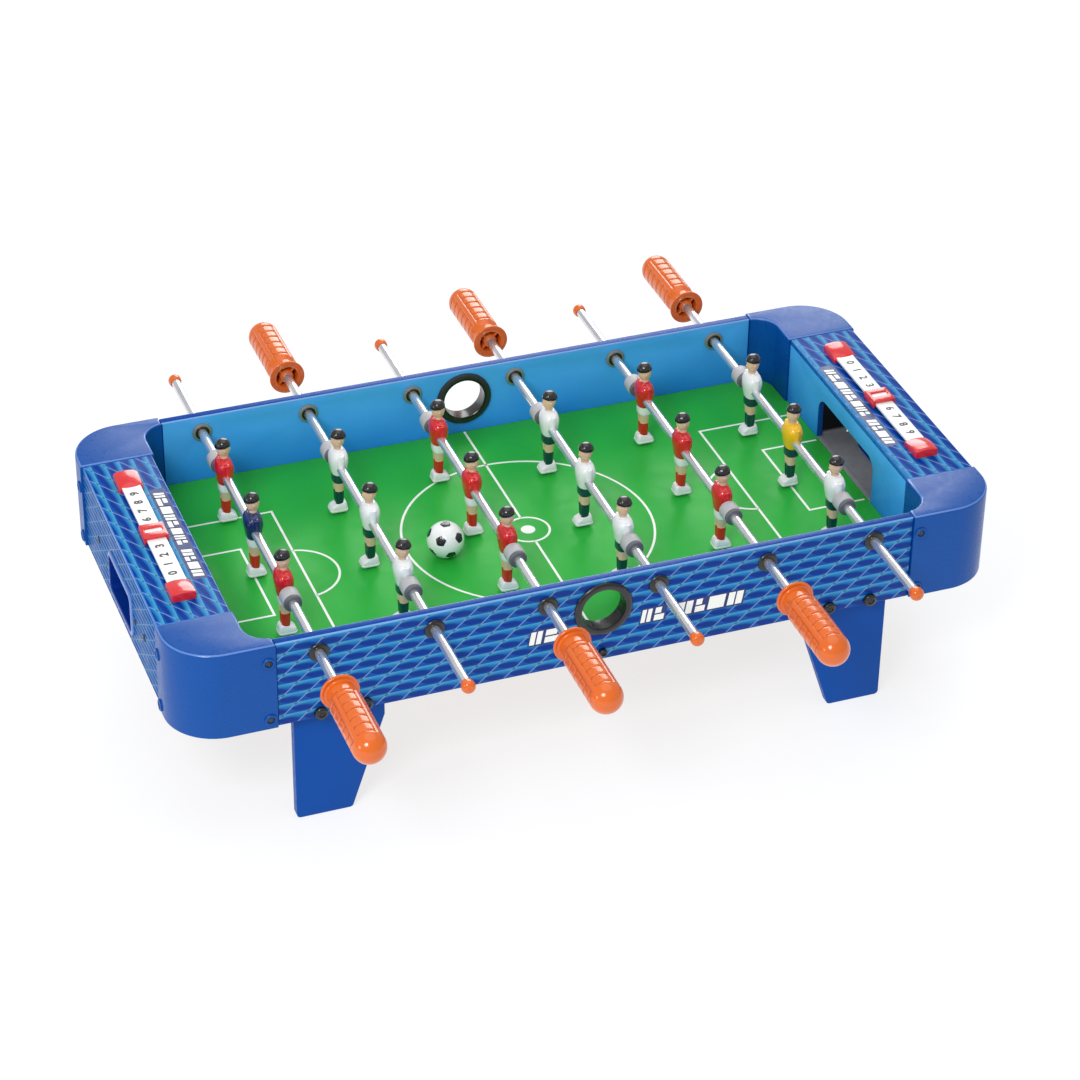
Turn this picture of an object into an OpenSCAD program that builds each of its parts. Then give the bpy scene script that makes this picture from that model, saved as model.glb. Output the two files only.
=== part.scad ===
// Tabletop foosball table: a shallow framed body on four board legs, with six rods that slide and
// spin, two bead-style scorers that slide on the end tops, and a loose ball.
// Frame: millimetres, origin at the centre of the footprint on the surface that the table stands on,
// +X along the length, +Y across to the far long side, +Z up.

/* [Body] */
// Length between the outer faces of the two end walls
body_l = 690; // [650:1:740]
// Width between the outer faces of the two long side panels
body_w = 344; // [330:1:360]
// Height of the top edge above the floor
body_top = 178; // [172:1:184]
// Height of the side panels
panel_h = 77; // [72:1:80]
// Thickness of the side panels
panel_t = 8.5; // [8:0.5:10]
// Thickness of the end walls
end_t = 5; // [4:0.5:6]
// Depth of the boxed space behind each goal, from the outer face to the pitch
end_depth = 58.3; // [56:0.1:62]
// Thickness of the board that covers each end
end_top_t = 4; // [3:0.5:5]
// Width of the flat end panels between two corner pieces
end_w = 238; // [230:1:244]

/* [Corners] */
// Distance from the middle of the table to the joint of a side panel and a corner piece
corner_x = 267; // [264:1:270]
// How far the corner pieces stand proud of the panels
corner_proud = 2; // [1:0.5:3]
// Outer radius of the corner pieces in plan
corner_r = 42; // [36:1:46]
// Inner radius of the corner pieces in plan
corner_in_r = 20; // [16:1:20]
// Skin thickness of the corner pieces
corner_t = 3.5; // [3:0.5:4]

/* [Pitch] */
// Height of the playing surface above the floor
pitch_z = 116.5; // [115:0.5:118]
// Thickness of the pitch board
pitch_t = 4; // [3:0.5:5]
// Half the width of the goal mouth
goal_half = 55; // [50:1:60]
// Height of the goal mouth above the pitch
goal_h = 40; // [38:0.5:46]
// Radius of the upper corners of the goal mouth
goal_r = 12; // [8:1:16]
// Diameter of the ball
ball_d = 31; // [29:0.5:32]
// Place of the ball along the length
ball_x = -77; // [-78:1:-76]
// Place of the ball across the width
ball_y = -14; // [-16:0.5:-14]

/* [Rods] */
// Distance between two neighbouring rods
rod_pitch = 93; // [92:1:95]
// Height of the rod axis above the floor
rod_z = 163; // [162.5:0.5:163.5]
// Outer diameter of a rod tube
rod_d = 8; // [7.5:0.5:8.5]
// Wall thickness of a rod tube
rod_wall = 1; // [0.8:0.1:1.5]
// Radial gap between a rod and what it runs in
run_gap = 0.06; // [0.03:0.01:0.1]
// How far the players of a rod sit off the middle of the pitch
rod_shift = 8.5; // [8.5:0.5:10]
// Distance of a handle's mouth from the middle plane
handle_y = 225; // [222:1:230]
// Length of a handle
handle_l = 86; // [80:1:88]
// Diameter of a handle's flange
handle_flange_d = 31; // [29:0.5:32]
// Diameter of a handle's grip
handle_d = 27; // [25:0.5:28]
// Distance of an end cap's tip from the middle plane
cap_y = 256; // [254:1:260]
// Diameter of an end cap
cap_d = 11; // [10.5:0.5:12]

/* [Players] */
// Distance between two players on a rod
player_pitch = 86; // [84:1:88]
// Width of a player's shirt
player_w = 24; // [22:1:24]
// Depth of a player's shirt
player_d = 15; // [14:0.5:16]
// Height of a player's head above the rod axis
head_h = 34; // [32:0.5:36]
// Depth of a player's soles below the rod axis
sole_h = 44; // [42:0.5:44.5]
// Outer diameter of a bumper sleeve
bumper_d = 16; // [15:0.5:17]
// Distance from a player's middle to the outer end of its bumper
bumper_reach = 27.5; // [26:0.5:32]

/* [Scorers] */
// Distance of a scorer's middle line from the middle of the table
score_x = 316; // [314:1:318]
// Overall length of a scorer
score_l = 186; // [184:1:192]
// Width of a scorer's red parts
score_w = 20; // [19:1:24]
// Length of a scorer's end bracket
score_end_l = 23; // [22:1:26]
// Length of a scorer's marker
marker_l = 20; // [18:1:22]
// Height of a scorer's red parts above the end board
score_h = 7.5; // [7:0.5:9]

/* [Legs] */
// Thickness of a leg board
leg_t = 9; // [8:0.5:10]
// Distance of a leg's outer edge from the middle of the table
leg_out = 252; // [248:1:256]
// Distance of a leg's inner edge from the middle of the table, at its top
leg_in = 178; // [174:1:182]
// Distance of a leg's inner edge from the middle of the table, at its foot
leg_foot_in = 205; // [200:1:210]

/* [Hidden] */
$fn = 48;
eps = 0.01;
rods = [1, 2, 3, 4, 5, 6];
sides = [-1, 1];
body_bottom = body_top - panel_h;
panel_in = body_w / 2 - panel_t;
end_out = body_l / 2;
end_in = end_out - end_depth;
corner_out_x = end_out + corner_proud;
corner_out_y = body_w / 2 + corner_proud;
corner_in_x = end_in - corner_proud;
corner_in_y = panel_in - 1;
joint_gap = 0.15;
serve_z = 150;
serve_in_r = 18.2;
serve_out_r = 24.5;
serve_barrel_r = 20.5;
serve_flange = 2.6;
bush_flange_r = 8.4;
bush_barrel_r = 6.2;
bush_flange_t = 2;
return_half = 35;
return_low = 113;
return_high = 149;
return_r = 6;
return_rim = 3.5;
return_depth = 24;
tray_half = goal_half + 4;
tray_t = 2.5;
tray_x = end_out - end_t - return_depth;
leg_top = pitch_z - pitch_t - 0.2;
leg_slope_z = 85;
leg_bolt_x = [196.2, 232.4];
leg_bolt_z = 106;
batten_w = 20;
bolt_head_r = 6.5;
bolt_head_h = 4;
bolt_r = 2.5;
screw_r = 1.6;
boss_r = 5;
boss_h = 1.5;
side_boss_x = corner_x + 6;
end_boss_y = end_w / 2 + 6;
side_boss_z = [110, 163];
end_boss_z = [108, 156];
end_screw_y = 73;
end_screw_z = 136;
rim_screw_y = 43;
rim_screw_z = 131;
rim_screw_r = 1.1;
strip_w = 15.5;
strip_t = 2.5;
strip_z = body_top + 2;
marker_gap = 0.35;
bumper_ring = 3;
player_bore = rod_d / 2 + eps;

// ---------- places along the table ----------

function rod_x(i) = (i - 3.5) * rod_pitch;
// odd rods are worked from the near side, even rods from the far side
function handle_side(i) = (i % 2 == 1) ? -1 : 1;
function row_shift(i) = -handle_side(i) * rod_shift;
// odd rods face +X, even rods face -X
function facing(i) = (i % 2 == 1) ? 1 : -1;

// ---------- shared shapes ----------

// a box from its lowest to its highest corner
module block(low, high) {
    translate(low) cube(high - low);
}

// a cylinder along Y, from one distance to another
module y_cylinder(r, from, to, at_x = 0, at_z = 0) {
    translate([at_x, from, at_z]) rotate([-90, 0, 0]) cylinder(r = r, h = to - from);
}

// a cylinder along X, from one distance to another
module x_cylinder(r, from, to, at_y = 0, at_z = 0) {
    translate([from, at_y, at_z]) rotate([0, 90, 0]) cylinder(r = r, h = to - from);
}

// a flat outline in Y and Z, given thickness along X
module yz_plate(from, to) {
    translate([from, 0, 0]) rotate([90, 0, 90]) linear_extrude(to - from) children();
}

// a flat outline in X and Z, given thickness along Y
module xz_plate(from, to) {
    translate([0, to, 0]) rotate([90, 0, 0]) linear_extrude(to - from) children();
}

// a rectangle with round corners
module round_rect(low, high, r) {
    translate([low.x + r, low.y]) square([high.x - low.x - 2 * r, high.y - low.y]);
    translate([low.x, low.y + r]) square([high.x - low.x, high.y - low.y - 2 * r]);
    for (x = [low.x + r, high.x - r], y = [low.y + r, high.y - r]) translate([x, y]) circle(r);
}

// copies a piece that is drawn in the +X, +Y quarter to the quarter given by two signs
module to_quarter(x_side, y_side) {
    mirror([x_side < 0 ? 1 : 0, 0, 0]) mirror([0, y_side < 0 ? 1 : 0, 0]) children();
}

module to_end(x_side) {
    mirror([x_side < 0 ? 1 : 0, 0, 0]) children();
}

module to_long_side(y_side) {
    mirror([0, y_side < 0 ? 1 : 0, 0]) children();
}

// ---------- body ----------

module playfield() {
    color("green") translate([0, 0, pitch_z - pitch_t]) linear_extrude(pitch_t) {
        round_rect([-corner_in_x + 0.3, -corner_in_y + 0.3], [corner_in_x - 0.3, corner_in_y - 0.3], corner_in_r);
        square([2 * end_in - 0.2, end_w - 0.4], center = true);
        square([2 * corner_x - 0.4, 2 * panel_in - 0.2], center = true);
    }
}

module field_batten() {
    color("tan") difference() {
        block([-batten_w / 2, -panel_in, body_bottom + 1], [batten_w / 2, panel_in, pitch_z - pitch_t]);
        for (side = sides) to_long_side(side)
            y_cylinder(bolt_r, panel_in - 20, panel_in + eps, 0, leg_bolt_z);
    }
}

// drawn at the +Y side
module side_panel() {
    difference() {
        block([-corner_x, panel_in, body_bottom], [corner_x, body_w / 2, body_top]);
        for (i = rods) y_cylinder(bush_barrel_r, panel_in - 1, body_w / 2 + 1, rod_x(i), rod_z);
        y_cylinder(serve_barrel_r, panel_in - 1, body_w / 2 + 1, 0, serve_z);
        y_cylinder(bolt_r, panel_in - 1, body_w / 2 + 1, 0, leg_bolt_z);
        for (x = leg_bolt_x, side = sides)
            y_cylinder(bolt_r, panel_in - 1, body_w / 2 + 1, side * x, leg_bolt_z);
    }
}

module side_panel_front() {
    color("royalblue") to_long_side(-1) side_panel();
}

module side_panel_back() {
    color("royalblue") side_panel();
}

// the goal mouth's outline, open downwards to the pitch
module goal_outline() {
    difference() {
        translate([-goal_half, pitch_z - 1]) square([2 * goal_half, goal_h + 1]);
        for (side = sides) translate([side * goal_half, pitch_z + goal_h]) difference() {
            square(2 * goal_r, center = true);
            translate([-side * goal_r, -goal_r]) circle(goal_r);
            translate([-side * 1.5 * goal_r, 0]) square([goal_r, 2 * goal_r], center = true);
            translate([0, -1.5 * goal_r]) square([2 * goal_r, goal_r], center = true);
        }
    }
}

module end_inner_wall() {
    difference() {
        block([end_in, -end_w / 2, body_bottom], [end_in + end_t, end_w / 2, body_top - end_top_t]);
        yz_plate(end_in - 1, end_in + end_t + 1) intersection() {
            goal_outline();
            translate([-goal_half - 1, pitch_z]) square([2 * goal_half + 2, goal_h + 1]);
        }
    }
}

module end_inner_wall_left() {
    color("dodgerblue") to_end(-1) end_inner_wall();
}

module end_inner_wall_right() {
    color("dodgerblue") end_inner_wall();
}

module end_outer_wall() {
    difference() {
        block([end_out - end_t, -end_w / 2, body_bottom], [end_out, end_w / 2, body_top - end_top_t]);
        yz_plate(end_out - end_t - 1, end_out + 1)
            round_rect([-return_half, return_low], [return_half, return_high], return_r);
        for (side = sides) {
            x_cylinder(screw_r, end_out - end_t - 1, end_out + 1, side * end_screw_y, end_screw_z);
            x_cylinder(rim_screw_r, end_out - end_t - 1, end_out + 1, side * rim_screw_y, rim_screw_z);
        }
    }
}

module end_outer_wall_left() {
    color("royalblue") to_end(-1) end_outer_wall();
}

module end_outer_wall_right() {
    color("royalblue") end_outer_wall();
}

module end_top() {
    block([end_in, -end_w / 2, body_top - end_top_t], [end_out, end_w / 2, body_top]);
}

module end_top_left() {
    color("royalblue") to_end(-1) end_top();
}

module end_top_right() {
    color("royalblue") end_top();
}

// ---------- corner pieces, drawn in the +X, +Y quarter ----------

// the plan of a corner piece; skin insets it on every side
module corner_plan(skin) {
    r = corner_r - skin;
    inner = corner_in_r + skin;
    inner_x = corner_in_x - corner_in_r;
    inner_y = corner_in_y - corner_in_r;
    difference() {
        union() {
            translate([corner_x + skin, 0]) square([corner_out_x - corner_r - corner_x - skin, corner_out_y - skin]);
            translate([corner_x + skin, 0]) square([corner_out_x - skin - corner_x - skin, corner_out_y - corner_r]);
            translate([corner_out_x - corner_r, corner_out_y - corner_r]) circle(r);
        }
        translate([0, -1]) square([corner_out_x + 1, end_w / 2 + skin + 1]);
        translate([0, -1]) square([corner_in_x + skin, inner_y + 1]);
        translate([0, -1]) square([inner_x, corner_in_y + skin + 1]);
        translate([inner_x, inner_y]) circle(inner);
    }
}

module corner_piece() {
    difference() {
        union() {
            translate([0, 0, body_bottom]) linear_extrude(panel_h + 1) corner_plan(0);
            for (z = side_boss_z) y_cylinder(boss_r, corner_out_y - 1, corner_out_y + boss_h, side_boss_x, z);
            for (z = end_boss_z) x_cylinder(boss_r, corner_out_x - 1, corner_out_x + boss_h, end_boss_y, z);
        }
        translate([0, 0, body_bottom - 1]) linear_extrude(panel_h + 2 - corner_t) corner_plan(corner_t);
        for (z = side_boss_z) {
            y_cylinder(screw_r, corner_out_y - 8, corner_out_y + boss_h + 1, side_boss_x, z);
            y_cylinder(2 * screw_r, corner_out_y, corner_out_y + boss_h + 1, side_boss_x, z);
        }
        for (z = end_boss_z) {
            x_cylinder(screw_r, corner_out_x - 8, corner_out_x + boss_h + 1, end_boss_y, z);
            x_cylinder(2 * screw_r, corner_out_x, corner_out_x + boss_h + 1, end_boss_y, z);
        }
    }
}

module corner_front_left() {
    color("mediumblue") to_quarter(-1, -1) corner_piece();
}

module corner_front_right() {
    color("mediumblue") to_quarter(1, -1) corner_piece();
}

module corner_back_left() {
    color("mediumblue") to_quarter(-1, 1) corner_piece();
}

module corner_back_right() {
    color("mediumblue") to_quarter(1, 1) corner_piece();
}

// ---------- legs, drawn in the +X, +Y quarter ----------

module leg() {
    foot_chamfer = 3;
    difference() {
        xz_plate(panel_in - leg_t - joint_gap, panel_in - joint_gap) polygon([
            [leg_in, leg_top],
            [leg_out, leg_top],
            [leg_out, foot_chamfer],
            [leg_out - foot_chamfer, 0],
            [leg_foot_in + foot_chamfer, 0],
            [leg_foot_in, foot_chamfer],
            [leg_in, leg_slope_z],
        ]);
        for (x = leg_bolt_x) y_cylinder(bolt_r, panel_in - leg_t - 1, panel_in + 1, x, leg_bolt_z);
    }
}

module leg_front_left() {
    color("blue") to_quarter(-1, -1) leg();
}

module leg_front_right() {
    color("blue") to_quarter(1, -1) leg();
}

module leg_back_left() {
    color("blue") to_quarter(-1, 1) leg();
}

module leg_back_right() {
    color("blue") to_quarter(1, 1) leg();
}

// ---------- fasteners ----------

// a round black bolt cap on the panel's outer face, with its shank
module bolt(x, shank_end) {
    y_cylinder(bolt_head_r, body_w / 2, body_w / 2 + bolt_head_h - 1, x, leg_bolt_z);
    y_cylinder(bolt_head_r - 1.5, body_w / 2 + bolt_head_h - 1 - eps, body_w / 2 + bolt_head_h, x, leg_bolt_z);
    y_cylinder(bolt_r, shank_end, body_w / 2 + eps, x, leg_bolt_z);
}

// a hexagonal nut on the inside of a leg
module leg_nut(x) {
    nut_t = 3.2;
    face = panel_in - leg_t - joint_gap;
    translate([x, face, leg_bolt_z]) rotate([90, 0, 0]) difference() {
        cylinder(r = 4.6, h = nut_t, $fn = 6);
        translate([0, 0, -1]) cylinder(r = bolt_r, h = nut_t + 2, $fn = 48);
    }
}

module leg_bolts() {
    color("black") for (y_side = sides, x_side = sides) to_quarter(x_side, y_side) {
        for (x = leg_bolt_x) {
            bolt(x, panel_in - leg_t - 5);
            leg_nut(x);
        }
    }
    color("black") for (side = sides) to_long_side(side) bolt(0, panel_in - 20);
}

module corner_screws() {
    head_t = 1;
    color("dimgray") for (y_side = sides, x_side = sides) to_quarter(x_side, y_side) {
        for (z = side_boss_z) {
            y_cylinder(screw_r, corner_out_y - 8, corner_out_y + eps, side_boss_x, z);
            y_cylinder(2 * screw_r - 0.2, corner_out_y, corner_out_y + head_t, side_boss_x, z);
        }
        for (z = end_boss_z) {
            x_cylinder(screw_r, corner_out_x - 8, corner_out_x + eps, end_boss_y, z);
            x_cylinder(2 * screw_r - 0.2, corner_out_x, corner_out_x + head_t, end_boss_y, z);
        }
        x_cylinder(screw_r, end_out - end_t - 4, end_out + eps, end_screw_y, end_screw_z);
        x_cylinder(2 * screw_r, end_out, end_out + head_t, end_screw_y, end_screw_z);
        x_cylinder(rim_screw_r, end_out - end_t - 2, end_out + eps, rim_screw_y, rim_screw_z);
        x_cylinder(2 * rim_screw_r, end_out, end_out + head_t, rim_screw_y, rim_screw_z);
    }
}

// ---------- serve holes, rod bushes ----------

// the flanged outer ring with its barrel, and the inner ring that it clips into
module serve_rings() {
    color("black") for (side = sides) to_long_side(side) translate([0, 0, serve_z]) rotate([-90, 0, 0]) {
        rotate_extrude() polygon([
            [serve_in_r, panel_in - serve_flange],
            [serve_barrel_r, panel_in - serve_flange],
            [serve_barrel_r, body_w / 2],
            [serve_out_r, body_w / 2],
            [serve_out_r, body_w / 2 + 1],
            [serve_out_r - 1.6, body_w / 2 + serve_flange],
            [serve_in_r + 1, body_w / 2 + serve_flange],
            [serve_in_r, body_w / 2 + serve_flange - 1],
        ]);
        rotate_extrude() polygon([
            [serve_barrel_r, panel_in - serve_flange],
            [serve_out_r - 1.6, panel_in - serve_flange],
            [serve_out_r, panel_in - 1],
            [serve_out_r, panel_in],
            [serve_barrel_r, panel_in],
        ]);
    }
}

// a flanged bush in each rod hole, and the ring that holds it from the inside
module rod_bushes() {
    color("black") for (i = rods, side = sides) translate([rod_x(i), 0, rod_z]) to_long_side(side)
        rotate([-90, 0, 0]) {
            rotate_extrude() polygon([
                [rod_d / 2 + run_gap, panel_in - bush_flange_t],
                [bush_barrel_r, panel_in - bush_flange_t],
                [bush_barrel_r, body_w / 2],
                [bush_flange_r, body_w / 2],
                [bush_flange_r, body_w / 2 + 1],
                [bush_flange_r - 1, body_w / 2 + bush_flange_t],
                [rod_d / 2 + run_gap, body_w / 2 + bush_flange_t],
            ]);
            rotate_extrude() polygon([
                [bush_barrel_r, panel_in - bush_flange_t],
                [bush_flange_r - 0.8, panel_in - bush_flange_t],
                [bush_flange_r, panel_in - 1.2],
                [bush_flange_r, panel_in],
                [bush_barrel_r, panel_in],
            ]);
        }
}

// ---------- goals ----------

// a dark moulded floor and two cheeks behind the goal mouth, falling away from the pitch
module goal_tray() {
    fall = 2.5;
    floor_z = pitch_z - 0.5;
    near = end_in + end_t + joint_gap;
    union() {
        xz_plate(-tray_half, tray_half) polygon([
            [near, floor_z],
            [tray_x, floor_z - fall],
            [tray_x, floor_z - fall - tray_t],
            [near, floor_z - tray_t],
        ]);
        for (side = sides) to_long_side(side) block(
            [near, goal_half + 1.5, floor_z - tray_t],
            [tray_x, tray_half, body_top - end_top_t - joint_gap]
        );
    }
}

module goal_tray_left() {
    color("dimgray") to_end(-1) goal_tray();
}

module goal_tray_right() {
    color("dimgray") goal_tray();
}

// a blue moulded rim round the ball return in the outer wall, with the shelf that the ball rests on
module ball_return() {
    low = [-return_half + joint_gap, return_low + joint_gap];
    high = [return_half - joint_gap, return_high - joint_gap];
    wall = 1.6;
    rim = [return_rim, return_rim];
    sleeve = [wall, wall];
    difference() {
        union() {
            yz_plate(end_out + eps, end_out + 1.8) round_rect(low - rim, high + rim, return_r + return_rim);
            yz_plate(tray_x + joint_gap, end_out + 1) round_rect(low, high, return_r);
        }
        yz_plate(tray_x - 1, end_out + 3) round_rect(low + sleeve, high - sleeve, return_r - wall);
        // the shelf stays low; the sleeve is cut back above it
        block([tray_x - 1, -return_half - 1, return_low + 8], [end_out - end_t - 3, return_half + 1, return_high + 1]);
    }
}

module ball_returns() {
    color("blue") for (side = sides) to_end(side) ball_return();
}

// ---------- scorers ----------

module score_strips() {
    color("white") for (side = sides) to_end(side) block(
        [score_x - strip_w / 2, -score_l / 2 + 3, strip_z],
        [score_x + strip_w / 2, score_l / 2 - 3, strip_z + strip_t]
    );
}

// the arched cross-section of the red parts
module score_arch(crown) {
    r = (pow(score_w / 2, 2) + pow(crown, 2)) / (2 * crown);
    intersection() {
        translate([score_x - score_w / 2, body_top]) square([score_w, score_h + 1]);
        translate([score_x, body_top + score_h - r]) circle(r, $fn = 96);
    }
}

module score_slot(gap) {
    translate([score_x - strip_w / 2 - gap, strip_z - gap]) square([strip_w + 2 * gap, strip_t + 2 * gap]);
}

module score_bracket() {
    inner = score_l / 2 - score_end_l;
    roof = body_top + score_h;
    roof_fall = 2.5;
    roof_run = 12;
    difference() {
        intersection() {
            xz_plate(inner, score_l / 2) score_arch(1.6);
            // the roof falls a little towards the marker
            yz_plate(0, score_x + score_w) polygon([
                [inner - 1, body_top - 1],
                [score_l / 2 + 1, body_top - 1],
                [score_l / 2 + 1, roof + 1],
                [inner + roof_run, roof + 1],
                [inner - 1, roof - roof_fall],
            ]);
        }
        xz_plate(inner - 1, score_l / 2 - 3) score_slot(0);
    }
}

module score_brackets() {
    color("red") for (x_side = sides, y_side = sides) to_quarter(x_side, y_side) score_bracket();
}

module score_marker() {
    window = [14, 4.4];
    difference() {
        translate([0, 0, marker_gap]) xz_plate(-marker_l / 2, marker_l / 2) score_arch(0.8);
        xz_plate(-marker_l, marker_l) score_slot(marker_gap);
        translate([score_x, 0, body_top + score_h / 2]) linear_extrude(score_h)
            square(window, center = true);
    }
}

module score_marker_left() {
    color("red") to_end(-1) score_marker();
}

module score_marker_right() {
    color("red") score_marker();
}

// ---------- ball ----------

module ball() {
    color("white") translate([ball_x, ball_y, pitch_z + ball_d / 2 + 0.25]) sphere(d = ball_d, $fn = 64);
}

// ---------- rods ----------

// places a rod's pieces; they are drawn for a rod that is worked from the -Y side
module on_rod(i) {
    translate([rod_x(i), 0, rod_z]) to_long_side(-handle_side(i)) children();
}

module rod_tube(i) {
    from = -handle_y - handle_l + 22;
    to = cap_y - 3;
    color("silver") on_rod(i) difference() {
        y_cylinder(rod_d / 2, from, to);
        y_cylinder(rod_d / 2 - rod_wall, from - 1, to + 1);
    }
}

// the outside of a handle, as radius against distance from its mouth
function handle_profile() = [
    [0, 0],
    [handle_flange_d / 2, 0],
    [handle_flange_d / 2, 1.6],
    for (a = [0:15:90]) [
        handle_flange_d / 2 - 3.6 * sin(a),
        1.6 + 4.4 * (1 - cos(a)),
    ],
    [handle_d / 2 - 1.6, 13],
    [handle_d / 2, 18],
    [handle_d / 2, handle_l - handle_d / 2],
    for (a = [10:10:90]) [
        handle_d / 2 * cos(a),
        handle_l - handle_d / 2 + handle_d / 2 * sin(a),
    ],
];

module handle(i) {
    mouth_r = handle_d / 2 - 3.8;
    mouth_depth = 20;
    hub_r = rod_d / 2 + 1.8;
    ridge_r = handle_d / 2;
    color("orangered") on_rod(i) translate([0, -handle_y, 0]) rotate([90, 0, 0]) difference() {
        rotate_extrude() polygon(handle_profile());
        difference() {
            translate([0, 0, -1]) cylinder(r = mouth_r, h = mouth_depth + 1);
            translate([0, 0, 1]) cylinder(r = hub_r, h = mouth_depth);
            for (a = [45, 135]) rotate([0, 0, a]) translate([-mouth_r, -0.8, 2])
                cube([2 * mouth_r, 1.6, mouth_depth]);
        }
        translate([0, 0, -1]) cylinder(r = player_bore, h = handle_l - 22 + 1);
        // four shallow grooves along the grip
        for (a = [45:90:315]) rotate([0, 0, a]) translate([ridge_r + 0.5, 0, 18])
            cylinder(r = 1.4, h = handle_l - 36);
    }
}

module end_cap(i) {
    depth = 8;
    color("orangered") on_rod(i) translate([0, cap_y - 9, 0]) rotate([-90, 0, 0]) difference() {
        rotate_extrude() polygon([
            [0, 0],
            [cap_d / 2, 0],
            [cap_d / 2, 6.5],
            for (a = [15:15:90]) [
                cap_d / 2 - 2.5 + 2.5 * cos(a),
                6.5 + 2.5 * sin(a),
            ],
            [0, 9],
        ]);
        translate([0, 0, -1]) cylinder(r = player_bore, h = depth - 1);
    }
}

// ---------- players, drawn about the rod axis and facing +X ----------

// front silhouette of shirt, shorts and leg, in Y and Z
module player_front() {
    shoulder = player_w / 2 - 3;
    round_rect([-player_w / 2, -8], [player_w / 2, 16], 7.5);
    translate([-8.2, -17]) square([16.4, 12]);
    polygon([[-7, -16], [7, -16], [5, -40], [-5, -40]]);
    translate([-shoulder, 4]) square([2 * shoulder, 12]);
}

// side silhouette of shirt, shorts and leg, in X and Z
module player_side() {
    round_rect([-player_d / 2, -12], [player_d / 2, 16.5], 6.5);
    polygon([[-6.2, -17], [6.4, -17], [7, -6], [-7, -6]]);
    polygon([[-4.8, -16], [5, -16], [4.2, -40], [-4.2, -40]]);
}

module player_head() {
    r = 6.2;
    neck = 13;
    translate([0, 0, neck]) cylinder(r = 3.6, h = 6);
    rotate_extrude() polygon([
        [0, 17],
        [4.2, 17],
        [r - 0.4, 20],
        [r, 24],
        for (a = [0:15:90]) [
            r * cos(a),
            head_h - r + r * sin(a),
        ],
    ]);
}

module player_boot() {
    toe = 9;
    heel = 6.5;
    intersection() {
        xz_plate(-6, 6) polygon([
            [-heel, -sole_h],
            [toe - 1, -sole_h],
            [toe, -sole_h + 1],
            [toe - 0.5, -sole_h + 4.5],
            [4.4, -36],
            [-4.6, -35.5],
            [-heel, -37],
        ]);
        translate([0, 0, -sole_h - 1]) linear_extrude(12) {
            translate([toe - 6, 0]) circle(6);
            translate([-heel + 5.2, 0]) circle(5.2);
            translate([-heel + 5.2, -5.2]) square([toe + heel - 11.2, 10.4]);
        }
    }
}

module player() {
    difference() {
        union() {
            intersection() {
                yz_plate(-player_d, player_d) player_front();
                xz_plate(-player_w, player_w) player_side();
            }
            player_head();
            player_boot();
        }
        y_cylinder(player_bore, -player_w, player_w);
    }
}

module players(i) {
    color(i % 2 == 1 ? "crimson" : "whitesmoke") for (k = [-1, 0, 1])
        translate([rod_x(i), row_shift(i) + k * player_pitch, rod_z])
            mirror([facing(i) < 0 ? 1 : 0, 0, 0]) player();
}

// a sleeve outside each outer player, loose on the rod, with a softer ring on its -Y end
module bumpers(i) {
    start = player_w / 2 + 0.4;
    for (side = sides) {
        low = min(side * start, side * bumper_reach);
        high = max(side * start, side * bumper_reach);
        translate([rod_x(i), row_shift(i) + side * player_pitch, rod_z]) {
            color("dimgray") difference() {
                y_cylinder(bumper_d / 2 - 0.5, low, low + bumper_ring);
                y_cylinder(rod_d / 2 + run_gap, low - 1, high + 1);
            }
            color("lightgray") difference() {
                y_cylinder(bumper_d / 2, low + bumper_ring, high);
                y_cylinder(rod_d / 2 + run_gap, low - 1, high + 1);
            }
        }
    }
}

// ---------- assembly ----------

playfield();
field_batten();
side_panel_front();
side_panel_back();
end_inner_wall_left();
end_inner_wall_right();
end_outer_wall_left();
end_outer_wall_right();
end_top_left();
end_top_right();
corner_front_left();
corner_front_right();
corner_back_left();
corner_back_right();
leg_front_left();
leg_front_right();
leg_back_left();
leg_back_right();
leg_bolts();
corner_screws();
serve_rings();
rod_bushes();
goal_tray_left();
goal_tray_right();
ball_returns();
score_strips();
score_brackets();
score_marker_left();
score_marker_right();
ball();
for (i = rods) {
    rod_tube(i);
    handle(i);
    end_cap(i);
    players(i);
    bumpers(i);
}
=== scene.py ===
"""Looks of a tabletop foosball table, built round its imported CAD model.

Lengths in this script are millimetres in the row frame (+X to the right-hand goal, +Y to the far
long side, +Z up) until a mesh is made, when MM turns them into metres.
"""

import math

import bmesh
import bpy
from mathutils import Matrix, Vector


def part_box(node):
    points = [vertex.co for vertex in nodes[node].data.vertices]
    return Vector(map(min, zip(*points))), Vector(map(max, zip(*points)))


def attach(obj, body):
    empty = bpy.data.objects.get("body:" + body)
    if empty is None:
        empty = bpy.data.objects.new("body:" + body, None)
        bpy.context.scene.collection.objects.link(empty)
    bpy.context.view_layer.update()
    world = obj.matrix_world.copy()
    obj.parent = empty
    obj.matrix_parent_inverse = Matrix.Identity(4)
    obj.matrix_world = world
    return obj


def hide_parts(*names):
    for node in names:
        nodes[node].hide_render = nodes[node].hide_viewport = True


MM = 0.001
SIDES = (-1, 1)
RODS = range(1, 7)
END_NAME = {-1: "left", 1: "right"}
LONG_NAME = {-1: "front", 1: "back"}

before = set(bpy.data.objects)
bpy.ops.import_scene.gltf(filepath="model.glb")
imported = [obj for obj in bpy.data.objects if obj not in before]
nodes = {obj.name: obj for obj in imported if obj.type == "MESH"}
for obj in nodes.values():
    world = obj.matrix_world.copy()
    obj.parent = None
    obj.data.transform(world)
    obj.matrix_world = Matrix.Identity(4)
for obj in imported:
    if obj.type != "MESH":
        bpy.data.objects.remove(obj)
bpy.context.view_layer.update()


def span(node):
    """Lowest and highest corner of a CAD node, in millimetres."""
    low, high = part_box(node)
    return low / MM, high / MM


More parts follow.
